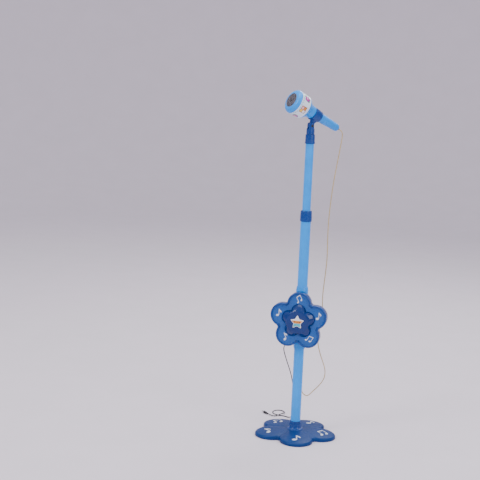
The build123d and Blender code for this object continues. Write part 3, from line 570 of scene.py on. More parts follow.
def base():
    rings = inset_rings(BASE, ((1.6, 0.0), (0.5, 0.0), (0.1, 0.3), (0, 0.9)))
    for step in range(9):
        angle = pi / 2 * step / 8
        inset = BASE_EDGE_ROUND * (1 - cos(angle))
        drop = BASE_EDGE_ROUND * (1 - sin(angle)) * 0.85
        rings += inset_rings(BASE, [(inset, lowered(base_height, drop))])
    inner_edge = flower(**BASE, inset=BASE_EDGE_ROUND)
    hub = circle_along(inner_edge, HUB_RADIUS - 3)
    rings += [ring_at(between(inner_edge, hub, step / 30), base_height) for step in range(1, 31)]
    edge = flower(**BASE)
    rings += [ring_at(circle_along(edge, radius), height) for radius, height
        in ((21.0, 15.0), (31.0, 13.0))]
    rings += inset_rings(BASE, ((7.5, 6.5), (2.6, 4.2)))
    rings.append(rings[0])
    piece_from("base_flower", loft_mesh(rings, close_ends=False), WORLD, BASE_BLUE, "stand",
        ["base_shell"])
    lathe("base_socket", [(SOCKET_BORE, 14), (25, 14), (26.4, 18.4, 2), (24.6, 20.6, 1.6), (21.4, 22.2, 3),
        (19.5, 27, 6), (18.5, 35, 8), (18.2, 44.2, 1.0), (17.0, 45, 0.8), (SOCKET_BORE, 45, 0.3)], WORLD,
        NAVY, "stand", "navy_plastic", segments=128, ripple=grip_ribs(8, -0.45, 24, 42, 17, 3, 2, 6))

    def on_base(u, v, height):
        return (u, v, base_height(u, v) + height)

    single, pair = quaver(), beamed_notes()
    shapes = (single, pair, single, pair, turned_outlines(single, 0.5))
    turns = (0.25, 0.85, 0.15, 0.6, 0.35)
    for number, centre in enumerate(petal_centres(BASE_NOTE_REACH, BASE["first_angle"])):
        outlines = turned_outlines(shapes[number], turns[number], BASE_NOTE_SCALE, centre)
        print_on(f"base_note_{number}", outlines, on_base, SILVER, "stand")


# ---- Pole ----
def tube(name, node, outer, inner, body):
    low, high = bottom(node), top(node)
    lathe(name, [(inner, low), (outer, low), (outer, high), (inner, high)], WORLD, TUBE, body,
        "sky_plastic", [node], radius=0.5)


def pole():
    tube("lower_pole", "lower_tube", 16.0, 14.5, "stand")
    tube("middle_pole", "mid_tube", 16.0, 14.5, "stand")
    tube("upper_pole", "upper_tube", 13.0, 11.8, "upper_stage")
    low = bottom("lock_collar")
    lathe("lock_nut", [(16.06, low), (17.9, low), (18.6, low + 1.2), (18.6, low + 14, 2),
        (17.8, low + 31.5), (16.9, low + 34, 1), (13.4, low + 34, 0.3), (13.4, low + 32, 0.2),
        (16.06, low + 24, 0.2)], WORLD, NAVY, "collar", "navy_plastic", ["lock_collar"], segments=192,
        ripple=grip_ribs(20, 0.55, low + 2.5, low + 13, 17.5))
    low = bottom("top_collar")
    high = top("top_collar")
    lathe("pole_cap", [(13.05, low), (15.7, low), (15.9, low + 1), (15.9, low + 5, 0.6),
        (15.1, low + 6.2, 0.6), (14.7, high - 1), (14.1, high), (8.06, high, 0.2),
        (8.06, top("upper_tube"), 0.2), (13.05, top("upper_tube"), 0.2)], WORLD, NAVY, "upper_stage",
        "navy_plastic", ["top_collar"], ripple=grip_ribs(4, 0.5, low + 8, high - 2, 14))


# ---- Loudspeaker box ----
BOX = dict(reach=55.0, petal=38.0, valley=9.0, first_angle=radians(90))
WINDOW = dict(reach=33.0, petal=22.0, valley=5.0, first_angle=radians(90))
PARTING = 18.0
RIM = 42.0
RIM_ROUND = 3.2
RING_FACE = 38.0
CROWN = dict(reach=6.0, petal=31.0, valley=30.0, first_angle=radians(90))
DOME_TOP = 52.0
BOX_BACK = 20.0
RING_BACK = RING_FACE - 3.2
RING_SINK = 0.4
RING_PILLOW = 1.6
RING_PILLOW_REACH = 62.0
RING_PILLOW_RADIUS = 34.0
RIM_WIDTH = 6.6  # everything this near the outline is painted in the darker rim colour
RIM_LEAST_REACH = 60
RIM_STEP = 0.55
BADGE_FACE = DOME_TOP + 2.95


def ring_height(x, y):
    """Face of the ring: a soft pillow on each petal."""
    nearest = nearest_petal(x, y, RING_PILLOW_REACH, BOX["first_angle"])
    return RING_FACE - RING_SINK + RING_PILLOW * max(0.0, 1 - (nearest / RING_PILLOW_RADIUS) ** 2)


def speaker_front():
    rings = inset_rings(BOX, ((12.2, PARTING), (0.5, PARTING), (0.15, PARTING + 0.15), (0, PARTING + 0.5),
        (0, 30)))
    for step in range(9):
        angle = pi / 2 * step / 8
        rings += inset_rings(BOX, [(RIM_ROUND * (1 - cos(angle)), RIM - RIM_ROUND * (1 - sin(angle)))])
    rings += inset_rings(BOX, ((4.6, RIM), (5.2, RIM - 0.2), (5.7, RIM - 0.8), (6.1, RIM - 1.8),
        (6.5, RING_FACE + 0.9)))
    ring_edge = flower(**BOX, inset=7.2)
    window_edge = flower(**WINDOW, inset=-1.6)
    rings += [ring_at(between(ring_edge, window_edge, step / 12), ring_height) for step in range(13)]
    lip = ((-0.9, 0.15), (-0.4, 0.5), (0, 1.2), (0, 2.6))
    rings += inset_rings(WINDOW, [(inset, lowered(ring_height, drop)) for inset, drop in lip])
    rings.append([(x, y, RING_BACK) for x, y, _ in rings[-1]])
    rings += [ring_at(between(window_edge, ring_edge, share), RING_BACK) for share in (0.3, 0.9)]
    rings += inset_rings(BOX, ((2.2, RING_BACK), (2.2, PARTING + 2.2), (12.2, PARTING + 2.2)))
    rings.append(rings[0])
    piece = piece_from("speaker_flower", loft_mesh(rings, close_ends=False), FRONT, FLOWER_BLUE, "stand",
        ["speaker_front_flower"])
    piece.data.materials.append(RIM_BLUE)
    for polygon in piece.data.polygons:
        centre = FRONT.inverted() @ polygon.center
        raised = centre.z > ring_height(centre.x, centre.y) + RIM_STEP
        polygon.material_index = 1 if raised or is_outer(centre.xy) else 0


def is_outer(point):
    """True on the rim and the side wall of the box's flower."""
    nearest = nearest_petal(point.x, point.y, BOX["reach"], BOX["first_angle"])
    angle = from_valley(point.x, point.y, BOX["first_angle"])
    from_arc = point.length * cos(angle) - valley_distance(BOX["reach"], BOX["petal"], BOX["valley"])
    beside_valley = hypot(from_arc, point.length * sin(angle)) < BOX["valley"] + RIM_WIDTH
    return nearest > BOX["petal"] - RIM_WIDTH and point.length > RIM_LEAST_REACH or beside_valley


def dome_wall(foot_inset, crown_inset, foot_low, crown_height, steps=10):
    """Rings of the dome's skin from its foot to a rounded, flat crown."""
    foot = flower(**WINDOW, inset=foot_inset)
    crown = flower(**CROWN, inset=crown_inset)
    rings = [ring_at(foot, height) for height in (foot_low, RING_FACE - 0.6, RING_FACE + 0.4)]
    for step in range(1, steps):
        share = step / steps
        rings.append(ring_at(between(foot, crown, share + 0.12 * sin(pi * share) * (share - 1)), RING_FACE
            + (crown_height - RING_FACE) * share))
    edge = ((0.4, 1.0), (1.0, 0.45), (1.9, 0.12), (3.0, 0.0), (8.0, 0.0), (20.0, 0.0))
    rings += inset_rings(CROWN, [(crown_inset + inset, crown_height - drop) for inset, drop in edge])
    rings.append([(0, 0, crown_height)] * len(foot))
    return rings


def speaker_dome():
    """Raised glossy cover: five petals at its foot and nearly round at its crown."""
    low, high = RING_FACE - 4.2, RING_FACE - 2.3
    flange = inset_rings(WINDOW, ((-3.4, low), (-3.4, high), (0.3, high)))
    outside = dome_wall(0.3, 0.0, RING_FACE - 2.2, DOME_TOP)
    inside = dome_wall(2.3, 2.0, low, DOME_TOP - 2.0)[::-1]
    piece_from("speaker_dome_cover", loft_mesh(flange + outside + inside + flange[:1], close_ends=False),
        FRONT, DISH_BLUE, "stand", ["speaker_dome"])


def star_badge():
    outline = star_outline(23.0, 12.4, 1.8)
    steps = ((1.0, DOME_TOP), (1.0, DOME_TOP + 2.4), (0.985, DOME_TOP + 2.9), (0.955, DOME_TOP + 3.2),
        (0.90, DOME_TOP + 3.25), (0.86, DOME_TOP + 3.0), (0.83, BADGE_FACE), (0.5, BADGE_FACE))
    rings = [[(point.x * scale, point.y * scale, height) for point in outline] for scale, height in steps]
    piece_from("badge_star", loft_mesh(rings), FRONT, WHITE, "stand", ["star_badge"])

    def badge_print(name, outlines, material, lift, depth):
        print_on(name, outlines, on_badge, material, "stand", lift=lift, depth=depth)

    def on_badge(u, v, height):
        return FRONT @ Vector((u, v, BADGE_FACE + height)) / MM

    inner = [tuple(point * 0.86) for point in outline]
    shades = [oval(-8.2, 1.6, 2.6, 2.2), oval(0.4, -0.6, 2.4, 1.6), oval(8.0, 1.2, 2.8, 2.6)]
    badge_print("badge_band", [clipped(inner, -3.4, 5.2)], ORANGE, 0.3, 0.1)
    badge_print("badge_band_shades", shades, BROWN, 0.42, 0.0)
    badge_print("badge_feet", [clipped(inner, -19.0, -4.0)], TEAL, 0.3, 0.1)


def speaker_notes():
    single, pair = quaver(), beamed_notes()
    notes = ((turned_outlines(pair, 0.5), 0.74, 71.5), (single, 0.8, 67.0),
        (turned_outlines(single, 0.4), 0.8, 66.0), (turned_outlines(pair, -0.5), 0.74, 66.0),
        (single, 0.8, 68.0))

    def on_ring(u, v, height):
        return FRONT @ Vector((u, v, ring_height(u, v) + height)) / MM

    for number, (shape, scale, reach) in enumerate(notes):
        angle = BOX["first_angle"] + PETAL_STEP * number
        outlines = turned_outlines(shape, 0.0, scale, (reach * cos(angle), reach * sin(angle)))
        print_on(f"speaker_note_{number}", outlines, on_ring, SILVER, "stand", step=2.5)


def jack_rings():
    profile = [(4.12, 19.9), (5.9, 19.9), (5.9, 20.5, 0.4), (5.2, 21.0, 0.3), (4.5, 21.0, 0.3),
        (4.12, 20.6, 0.2)]
    for node in ("aux_jack", "mic_jack"):
        place = middle(node)
        at = axes((place.x, 0, place.z), (1, 0, 0), (0, 1, 0))
        lathe(f"{node}_ring", profile, at, WHITE, "stand", "badge", radius=0.2)


def door_ridges():
    """Six ridges to grip the door by; each bulges from a foot line just under the door's face."""
    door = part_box("battery_door")
    foot = door[1].y / MM - 0.4
    z = middle("battery_door").z / MM
    ridges = bmesh.new()
    for number in range(6):
        x = door[1].x / MM - 7.0 - 2.6 * number
        arch = [(0.8 * cos(pi * step / 8), 0.9 * max(0, sin(pi * step / 8))) for step in range(9)]
        ends = ((-9.5, 0.3), (-9.0, 0.85), (-8.2, 1), (8.2, 1), (9.0, 0.85), (9.5, 0.3))
        loft_mesh([[(x + u * shrink, foot + w * shrink, z + end) for u, w in arch] for end, shrink in ends],
            ridges)
    piece_from("door_ridges", ridges, WORLD, SKY, "door")


def volume_marks():
    """Minus and plus beside the volume wheel."""
    wheel = middle("volume_wheel").z / MM

    def on_back(u, v, lift):
        return (u, BOX_BACK + lift, v)

    minus = [(-17, wheel - 0.5), (-12, wheel - 0.5), (-12, wheel + 0.5), (-17, wheel + 0.5)]
    arm, reach = 0.5, 2.5
    plus = [(arm, arm), (arm, reach), (-arm, reach), (-arm, arm), (-reach, arm), (-reach, -arm),
        (-arm, -arm), (-arm, -reach), (arm, -reach), (arm, -arm), (reach, -arm), (reach, arm)]
    print_on("volume_marks", [minus, [(u + 14.5, v + wheel) for u, v in plus]], on_back, SKY, "stand",
        lift=0.5)


def socket_rings():
    """Stepped rings where the pole enters and leaves the box."""
    middle_height = BOX_CENTRE.z / MM
    upper = ((19.5, 83), (19.5, 94), (18.5, 100), (17.4, 106.2))
    lower = ((17.4, -96.2), (18.5, -90), (19.5, -80), (19.5, -78))
    for name, steps in (("upper_socket_ring", upper), ("lower_socket_ring", lower)):
        profile = [(16.3, steps[0][1]), *steps, (16.3, steps[-1][1])]
        lathe(name, [(radius, middle_height + above) for radius, above in profile], WORLD, SKY, "stand",
            "sky_plastic", radius=0.9)


def speaker_back():
    jack_rings()
    door_ridges()
    volume_marks()
    socket_rings()


# ---- Neck and clip: solids fused into one soft-edged moulding ----
PIVOT_BORE = 2.15
PIVOT_SEAT = 4.25
EAR_RADIUS = 8.6
EAR_HALF = 4.1
GRIP_TOP = (19.4, 89.0)  # outer radius and station on the microphone's handle
GRIP_LOW = (15.1, 123.0)


def fused(name, solids, cutters, matrix, material, body, replaced, voxel=0.55, passes=6):
    """Union of solids less cutters, remeshed and smoothed like a moulded part."""
    flat = Matrix.Identity(4)
    piece = piece_from(name, solids, flat, material, None)
    apply_modifier(piece, "REMESH", mode="VOXEL", voxel_size=voxel)
    for cutter in cutters:
        cut(piece, cutter, flat, material)
    apply_modifier(piece, "REMESH", mode="VOXEL", voxel_size=voxel)
    apply_modifier(piece, "SMOOTH", factor=0.5, iterations=passes)
    piece.data.transform(matrix)
    piece.data.materials.clear()
    piece.data.materials.append(material)
    smooth(piece.data)
    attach(piece, body)
    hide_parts(*replaced)
    return piece


def cone_radius(station):
    """Outer radius of the microphone's handle where the clip holds it."""
    (wide, first), (narrow, last) = GRIP_TOP, GRIP_LOW
    return wide - (station - first) * (wide - narrow) / (last - first)


def disc_along_x(radius, low, high, y=0.0, z=0.0):
    return [[(x, y + u, z + v) for u, v in circle(radius, 48)] for x in (low, high)]


def oval_ring(half_x, half_z, y, z, power=2.6, steps=40):
    points = []
    for number in range(steps):
        angle = 2 * pi * number / steps
        c, s = cos(angle), sin(angle)
        x = half_x * abs(c) ** (2 / power) * (1 if c > 0 else -1)
        along = half_z * abs(s) ** (2 / power) * (1 if s > 0 else -1)
        points.append((x, y, z + along))
    return points


def clip():
    start = CLIP_STATION - CLIP_LENGTH / 2
    end = CLIP_STATION + CLIP_LENGTH / 2
    opening = radians(38)
    gap, wall = 0.35, 2.75
    near, far = cone_radius(start) + gap, cone_radius(end) + gap
    solid = lathe_mesh([(near, start), (near + wall, start), (far + wall, end), (far, end)], radius=0.5,
        start=pi / 2 + opening, sweep=2 * pi - 2 * opening)
    saddle = [(-13, 11.5, 14.4), (-17, 10.5, 13.6), (-20, 8.8, 11.8), (-23, 7.2, 9.8), (-26, 6.4, 8.4),
        (-27.5, 6.2, 8.2)]
    loft_mesh([oval_ring(half_x, half_z, y, CLIP_STATION) for y, half_x, half_z in saddle], solid)
    loft_mesh([oval_ring(EAR_HALF, 8.3, y, CLIP_STATION, 6) for y in (-24, -MIC_OFFSET)], solid)
    loft_mesh(disc_along_x(EAR_RADIUS, -EAR_HALF, EAR_HALF, -MIC_OFFSET, CLIP_STATION), solid)
    low, high = start - 8, end + 8
    hollow = lathe_mesh([(0, low), (cone_radius(low) + gap, low), (cone_radius(high) + gap, high),
        (0, high)], closed=False, radius=0)
    bore = loft_mesh(disc_along_x(PIVOT_BORE, -20, 20, -MIC_OFFSET, CLIP_STATION))
    fused("clip_moulding", solid, [hollow, bore], MIC, NAVY, "clip", ["mic_clip"])


def neck():
    """Fork with two cheeks; heights are measured from the tilt axis."""
    foot = (top("top_collar") + 0.3) - PIVOT.z / MM
    shaft_low = top("upper_tube") - 8 - PIVOT.z / MM
    post = lathe_mesh([(0, shaft_low), (7.95, shaft_low), (7.95, foot), (11.4, foot), (11.0, foot + 4),
        (10.7, -8), (10.6, 10.2), (0, 10.2)], closed=False, radius=0.2)
    for near, far in ((-11.6, -8), (8, 11.6)):
        for x in (-4.4, 4.4):
            box_mesh((x - 1.1, near, foot), (x + 1.1, far, -8), post)
    barrel_cut = bmesh.new()
    steps, gap, cheek = 24, 4.25, 10.3
    for side in (-1, 1):
        outline = [(side * cheek * cos(pi / 2 * n / steps), cheek * sin(pi / 2 * n / steps))
            for n in range(steps + 1)]
        outline += [(0, 22), (side * 24, 22), (side * 24, 0)]
        loft_mesh([[(x, y, z) for y, z in outline] for x in (-24, 24)], barrel_cut)
    cutters = [box_mesh((-gap, -20, -10.4), (gap, 20, 20)), barrel_cut]
    for radius, low, high in ((PIVOT_SEAT, 7.6, 24), (PIVOT_SEAT, -24, -7.6), (PIVOT_BORE, -24, 24)):
        cutters.append(loft_mesh(disc_along_x(radius, low, high)))
    fused("neck_fork", post, cutters, NECK, NAVY, "neck", ["neck_post"], passes=4)
    lathe("neck_anchor", [(0, -45), (7.3, -45), (9.2, -39), (9.2, -35.5), (0, -35.4)], NECK, NAVY, "neck",
        "navy_plastic", closed=False)


# ---- Microphone ----
BAND_START = 12.8
BAND_END = 49.0
BAND_WIDE = 38.5
BAND_TAPER = 1.9
BAND_MEAN = 37.5
WELL_RADIUS = 2.7
WELL_DEPTH = 4.2


def band_radius(station):
    return BAND_WIDE - (station - BAND_START) * BAND_TAPER / (BAND_END - BAND_START)


def on_band(u, v, height):
    """u is a length round the band from local -X towards up, v the station along the microphone."""
    reach = band_radius(v) + height
    angle = pi - u / BAND_MEAN
    return MIC @ Vector((reach * cos(angle), reach * sin(angle), v)) / MM


def hermite(start, end, start_slope, end_slope, steps):
    points = []
    for step in range(steps + 1):
        t = step / steps
        weights = (2 * t ** 3 - 3 * t ** 2 + 1, t ** 3 - 2 * t ** 2 + t, 3 * t ** 2 - 2 * t ** 3,
            t ** 3 - t ** 2)
        points.append(tuple(weights[0] * start[i] + weights[1] * start_slope[i] + weights[2] * end[i]
            + weights[3] * end_slope[i] for i in range(2)))
    return points


def microphone_shell():
    cap = arc((23.6, 0.0), (33.5, 3.6), (38.5, 12.5), 14)
    lathe("mic_cap_shell", cap + [(38.3, 12.75, 0.1), (36.3, 12.75, 0.2), (36.3, 16.4, 0.2),
        (34.8, 16.4, 0.2), (34.8, 11.0), (30.5, 5.2), (22.6, 2.8, 0.2), (22.9, 0.4, 0.3)], MIC, SKY,
        "microphone", "sky_plastic", ["mic_cap"], segments=128, radius=0.25)
    band = [(36.5, BAND_START), (BAND_WIDE, BAND_START, 0.35), (36.6, BAND_END, 0.35), (34.6, BAND_END)]
    lathe("mic_label_band", band, MIC, BAND, "microphone", "band_white", ["mic_band"], segments=128,
        radius=0.2)

    def seam(angle, r, z):
        """Fine groove where the two halves of the handle meet."""
        return -0.28 * exp(-(r * sin(angle) / 0.35) ** 2) if z > 49 and r > 4 else 0

    wall = 2.2
    outside = hermite((36.3, 49.2), (22.5, 70.0), (-5.5, 22.0), (-7.5, 21.5), 14)
    grip = [(*GRIP_TOP, 8), (*GRIP_LOW, 14), (13.9, 152.0, 20), (12.2, 192.0, 1)]
    tail = arc((12.2, 192.0), (10.2, 197.2), (5.5, MIC_LENGTH), 8)
    inside = [(5.0, MIC_LENGTH - wall), (8.8, 194.5), (10.0, 191), (11.7, 152), (12.9, 123), (17.2, 89)]
    inside += hermite((20.3, 70.0), (34.1, 49.2), (7.5, -21.5), (5.5, -22.0), 8)
    handle = lathe("mic_handle", outside + grip + tail[1:] + [(3.3, MIC_LENGTH), (3.3, MIC_LENGTH - wall)]
        + inside, MIC, SKY, "microphone", "sky_plastic", ["mic_handle_upper", "mic_handle_lower"],
        segments=160, radius=0.3, ripple=seam)
    for station, radius in ((134.0, 14.6), (174.0, 12.9)):
        seat = radius - WELL_DEPTH
        at = MIC @ Matrix.Translation((0, 0, station)) @ Matrix.Rotation(pi / 2, 4, "X")
        shaft = [(0, seat), (WELL_RADIUS, seat), (WELL_RADIUS, radius + 3), (0, radius + 3)]
        cut(handle, lathe_mesh(shaft, closed=False, radius=0, segments=32), at, SKY)
        lining = [(WELL_RADIUS, seat - 0.2), (3.6, seat - 0.2), (3.6, radius - 0.7),
            (WELL_RADIUS, radius - 0.6)]
        lathe(f"screw_well_{station:.0f}", lining, at, SKY, "microphone", "sky_plastic", segments=32,
            radius=0.1)
    relief = [(0, 194), (4.6, 194), (4.6, 197.4), (3.2, 197.4), (3.2, 200)]
    for number in range(3):
        z = 200.4 + 1.9 * number
        radius = 3.2 - 0.32 * number
        relief += [(radius, z), (radius, z + 0.9), (radius - 0.5, z + 1.1), (radius - 0.5, z + 1.6)]
    relief += [(2.2, RELIEF_END), (0, RELIEF_END)]
    lathe("tail_relief", relief, MIC, BLACK, "microphone", "black_plastic", ["mic_strain_relief"],
        closed=False, radius=0.2, segments=40)


def grille():
    """Woven wire dome in a metal ring, with a black stud in the middle."""
    pitch, wire, reach = 1.5, 0.26, 22.0

    def dome(x, y):
        return -1.0 + 1.6 * (x * x + y * y) / reach ** 2

    builder = bmesh.new()
    count = int(reach / pitch)
    for family in range(2):
        for number in range(-count, count + 1):
            offset = (number + 0.5 * family) * pitch
            if abs(offset) > reach - 1:
                continue
            half = sqrt(reach ** 2 - offset ** 2)
            steps = max(6, int(half * 2 / pitch * 3))
            rings = []
            for step in range(steps + 1):
                along = -half + 2 * half * step / steps
                phase = pi * along / pitch + pi * (number % 2) + pi / 2 * family
                weave = 0.24 * sin(phase) * (1 if family else -1)
                x, y = (along, offset) if family else (offset, along)
                level = dome(x, y) + weave + 0.4
                ring = []
                for side in range(6):
                    angle = pi / 3 * side
                    shift, lift = wire * cos(angle), wire * sin(angle)
                    ring.append((x, y + shift, level + lift) if family else (x + shift, y, level + lift))
                rings.append(ring)
            loft_mesh(rings, builder)
    turn = MIC @ Matrix.Rotation(pi / 4, 4, "Z")
    piece_from("grille_mesh", builder, turn, METAL, "microphone", ["mic_grille"])
    ring = [(21.4, 0.5), (21.8, -0.2), (22.7, -0.4, 0.3), (23.1, 0.3, 0.3), (22.8, 1.4), (21.5, 1.6)]
    lathe("grille_ring", ring, MIC, METAL, "microphone", "grille_metal", radius=0.2)
    stud = [(0, -2.0), (1.4, -1.95), (3.0, -1.5), (3.1, -0.9, 0.3), (1.95, -0.7), (1.95, 0.8), (0, 0.8)]
    lathe("grille_stud", stud, MIC, BLACK, "microphone", "black_plastic", ["mic_grille_stud"], closed=False,
        radius=0.3, segments=40)


def sticker(name, outlines, material, lift=0.18, step=2.5):
    print_on(name, outlines, on_band, material, "microphone", lift=lift, step=step)


def band_stickers():
    """Generic prints round the band: tile panels, flowers and a dashed wave."""
    turn = 2 * pi * BAND_MEAN
    colours = (YELLOW, PINK, WHITE, ORANGE)
    petals = [tuple(point) for point in flower(5.2, 4.2, 1.2, 0.3, 0, 8, 3)]
    for number in range(3):
        mid = -17.0 + turn / 3 * number
        sticker(f"panel_{number}", [[(mid - 11, 22), (mid + 11, 21), (mid + 12, 41), (mid - 10, 42)]],
            BROWN, 0.12)
        for tile in range(4):
            u = mid - 9 + 9.6 * (tile % 2)
            v = 23.4 + 9.0 * (tile // 2)
            square = [(u, v), (u + 8.2, v - 0.3), (u + 8.6, v + 7.2), (u + 0.4, v + 7.6)]
            sticker(f"tile_{number}_{tile}", [square], colours[(tile + number) % 4], 0.24)
        mid += turn / 6
        leaves = [oval(mid + 7.5, 26, 6.0, 3.2, 0.8), oval(mid - 8, 40, 4.6, 2.2, 0.5)]
        sticker(f"bloom_leaf_{number}", leaves, GREEN, 0.12)
        for name, scale, colour, lift in (("bloom_edge", 1.16, PURPLE, 0.2), ("bloom", 0.86, MAGENTA, 0.3)):
            bloom = [(u * scale + mid, v * scale + 33) for u, v in petals]
            sticker(f"{name}_{number}", [bloom], colour, lift)
        sticker(f"bloom_eye_{number}", [oval(mid, 33, 2.1, 2.1)], WHITE, 0.4, 3.0)
    dashes = []
    for number in range(30):
        u = turn / 30 * number
        v = 16.4 + 1.2 * sin(number)
        dashes.append([(u, v), (u + 5.0, v + 0.8), (u + 4.6, v + 2.6), (u - 0.4, v + 1.8)])
    sticker("band_dashes", dashes, TEAL)


# ---- Cords ----
CORD_RADIUS = 0.0015
CORD_SIDES = 14
PLUG_GRIP = 0.0232
TAIL = MIC @ Vector((0, 0, RELIEF_END))
MIC_CORD_ROUTE = [
    tuple(TAIL), tuple(TAIL - MIC_FORWARD * 0.013), (0.0855, 0.091, 0.965), (0.083, 0.091, 0.942),
    (0.078, 0.089, 0.903), (0.071, 0.085, 0.851), (0.065, 0.081, 0.797), (0.061, 0.0785, 0.742),
    (0.0585, 0.0755, 0.687), (0.059, 0.074, 0.632), (0.0615, 0.0725, 0.579), (0.06, 0.07, 0.532),
    (0.057, 0.0665, 0.488), (0.055, 0.063, 0.448), (0.057, 0.0595, 0.41), (0.056, 0.058, 0.37),
    (0.051, 0.058, 0.33), (0.0475, 0.0595, 0.294), (0.056, 0.0635, 0.259), (0.066, 0.0685, 0.231),
    (0.0745, 0.072, 0.206), (0.0755, 0.0735, 0.181), (0.0665, 0.0715, 0.16), (0.0515, 0.0675, 0.141),
    (0.0365, 0.063, 0.126), (0.0255, 0.0595, 0.1125), (0.0115, 0.0555, 0.116), (0.0015, 0.052, 0.135),
    (-0.006, 0.049, 0.163), (-0.0095, 0.047, 0.197), (-0.008, 0.047, 0.233), (-0.0025, 0.0495, 0.268),
    (0.0065, 0.0555, 0.3), (0.017, 0.0605, 0.326), (0.0285, 0.0665, 0.3465), (0.0385, 0.07, 0.362),
    (0.042, 0.06, 0.373), (0.042, 0.044, 0.373),
]
AUX_CORD_ROUTE = [
    (0.042, 0.044, 0.388), (0.042, 0.061, 0.388), (0.048, 0.073, 0.378), (0.052, 0.077, 0.358),
    (0.048, 0.075, 0.339), (0.037, 0.071, 0.3225), (0.021, 0.0665, 0.311), (0.002, 0.0615, 0.304),
    (-0.017, 0.0555, 0.3005), (-0.035, 0.05, 0.296), (-0.0505, 0.045, 0.287), (-0.0595, 0.042, 0.273),
    (-0.059, 0.0425, 0.26), (-0.054, 0.0455, 0.242), (-0.0475, 0.0495, 0.221), (-0.0405, 0.054, 0.2),
    (-0.0345, 0.059, 0.179), (-0.03, 0.0655, 0.154), (-0.027, 0.0735, 0.128), (-0.026, 0.084, 0.102),
    (-0.0275, 0.096, 0.077), (-0.0295, 0.109, 0.054), (-0.034, 0.1225, 0.034), (-0.0395, 0.1355, 0.017),
    (-0.0465, 0.147, 0.006), (-0.0565, 0.1565, 0.0019), (-0.0695, 0.1635, 0.0017), (-0.085, 0.1665, 0.0016),
    (-0.1015, 0.1695, 0.0015), (-0.114, 0.1785, 0.0015), (-0.121, 0.193, 0.0015), (-0.1195, 0.211, 0.0015),
    (-0.1095, 0.2235, 0.0015), (-0.095, 0.223, 0.0016), (-0.084, 0.2125, 0.0019), (-0.079, 0.197, 0.0032),
    (-0.079, 0.1815, 0.0064), (-0.0835, 0.1685, 0.0076), (-0.0905, 0.1585, 0.0052), (-0.1, 0.151, 0.0026),
    (-0.111, 0.1485, 0.0028), (-0.121, 0.1545, 0.004), (-0.1295, 0.162, 0.004),
]


def route_points(name, route, resolution=10):
    """Points of the smooth NURBS line that a route's control points give."""
    data = bpy.data.curves.new(name, "CURVE")
    data.dimensions = "3D"
    spline = data.splines.new("NURBS")
    spline.points.add(len(route) - 1)
    for point, place in zip(spline.points, route):
        point.co = (*place, 1)
    spline.order_u = 3
    spline.use_endpoint_u = True
    spline.resolution_u = resolution
    carrier = add_object(name, data)
    bpy.context.view_layer.update()
    graph = bpy.context.evaluated_depsgraph_get()
    mesh = bpy.data.meshes.new_from_object(carrier.evaluated_get(graph))
    points = [vertex.co.copy() for vertex in mesh.vertices]
    bpy.data.meshes.remove(mesh)
    bpy.data.objects.remove(carrier)
    bpy.data.curves.remove(data)
    return points


def line_frames(points):
    """A steady sideways direction at each point of a line, without twist."""
    frames = []
    side = Vector((0, 1, 0))
    for number, point in enumerate(points):
        before = points[max(number - 1, 0)]
        after = points[min(number + 1, len(points) - 1)]
        along = (after - before).normalized()
        side = (side - along * side.dot(along)).normalized()
        frames.append((point, side, along.cross(side)))
    return frames


def cord_tube(name, frames, material):
    section = circle(1, CORD_SIDES)
    rings = [[(point + (side * u + other * v) * CORD_RADIUS) / MM for u, v in section] for point, side,
        other in frames]
    return piece_from(name, loft_mesh(rings), WORLD, material, None)


def plug_place(grip_node):
    """Place of a plug that is pushed into the back of the box."""
    jack = middle(grip_node)
    return axes((jack.x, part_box(grip_node)[0].y, jack.z), (1, 0, 0), (0, -1, 0))


def plug(prefix, matrix, body="stand"):
    """Plug with a ribbed grip and a ringed pin; the pin runs along +Z from the origin."""
    grip_profile = [(0, 0), (3.5, 0), (4.0, -0.7), (4.0, -3.4)]
    for number in range(4):
        z = -3.6 - 2.3 * number
        grip_profile += [(4.0, z), (4.0, z - 1.2), (3.5, z - 1.4), (3.5, z - 2.1)]
    grip_profile += [(4.0, -12.9), (3.0, -15, 1.5), (2.6, -21, 2), (2.1, -23.1, 0.3), (0, -23.2)]
    grip = lathe(f"{prefix}_grip_moulding", grip_profile, matrix, BLACK, body, "black_plastic",
        [f"{prefix}_grip"], closed=False, radius=0.2, segments=48)
    pin_profile = [(0, -0.2), (1.75, -0.2), (1.75, 5.0), (1.6, 5.1), (1.6, 5.7), (1.75, 5.8), (1.75, 7.6),
        (1.6, 7.7), (1.6, 8.3), (1.75, 8.4), (1.75, 10.4, 0.3), (1.15, 11.1, 0.3), (1.72, 12.1, 0.4),
        (0.6, 14, 0.6), (0, 14)]
    pin = lathe(f"{prefix}_pin_metal", pin_profile, matrix, NICKEL, body, "nickel", [f"{prefix}_pin"],
        closed=False, radius=0.15, segments=40)
    bands = bmesh.new()
    for low in (5.0, 7.6):
        lathe_mesh([(1.5, low + 0.1), (1.73, low + 0.1), (1.73, low + 0.7), (1.5, low + 0.7)], radius=0.05,
            segments=40, builder=bands)
    rings = piece_from(f"{prefix}_pin_bands", bands, matrix, BLACK, body)
    return [grip, pin, rings]


def microphone_cord():
    """One line in four lengths, cut where it passes three set heights between the microphone and the stand.
    """
    points = route_points("mic_route", MIC_CORD_ROUTE)
    frames = line_frames(points)
    heights = (0.956, 0.868, 0.706)
    cuts = [0] + [next(number for number, point in enumerate(points) if point.z < height)
        for height in heights]
    cuts.append(len(points) - 1)
    names = ("mic_cord_tail", "mic_cord_neck", "mic_cord_swivel", "mic_cord_stand")
    plug_pieces = plug("mic_plug", plug_place("mic_plug_grip"))
    for number, name in enumerate(names):
        first, last = cuts[number], cuts[number + 1]
        part = cord_tube(name, frames[first:last + 1], TAN_CORD)
        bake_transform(part)
        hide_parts("mic_cord")


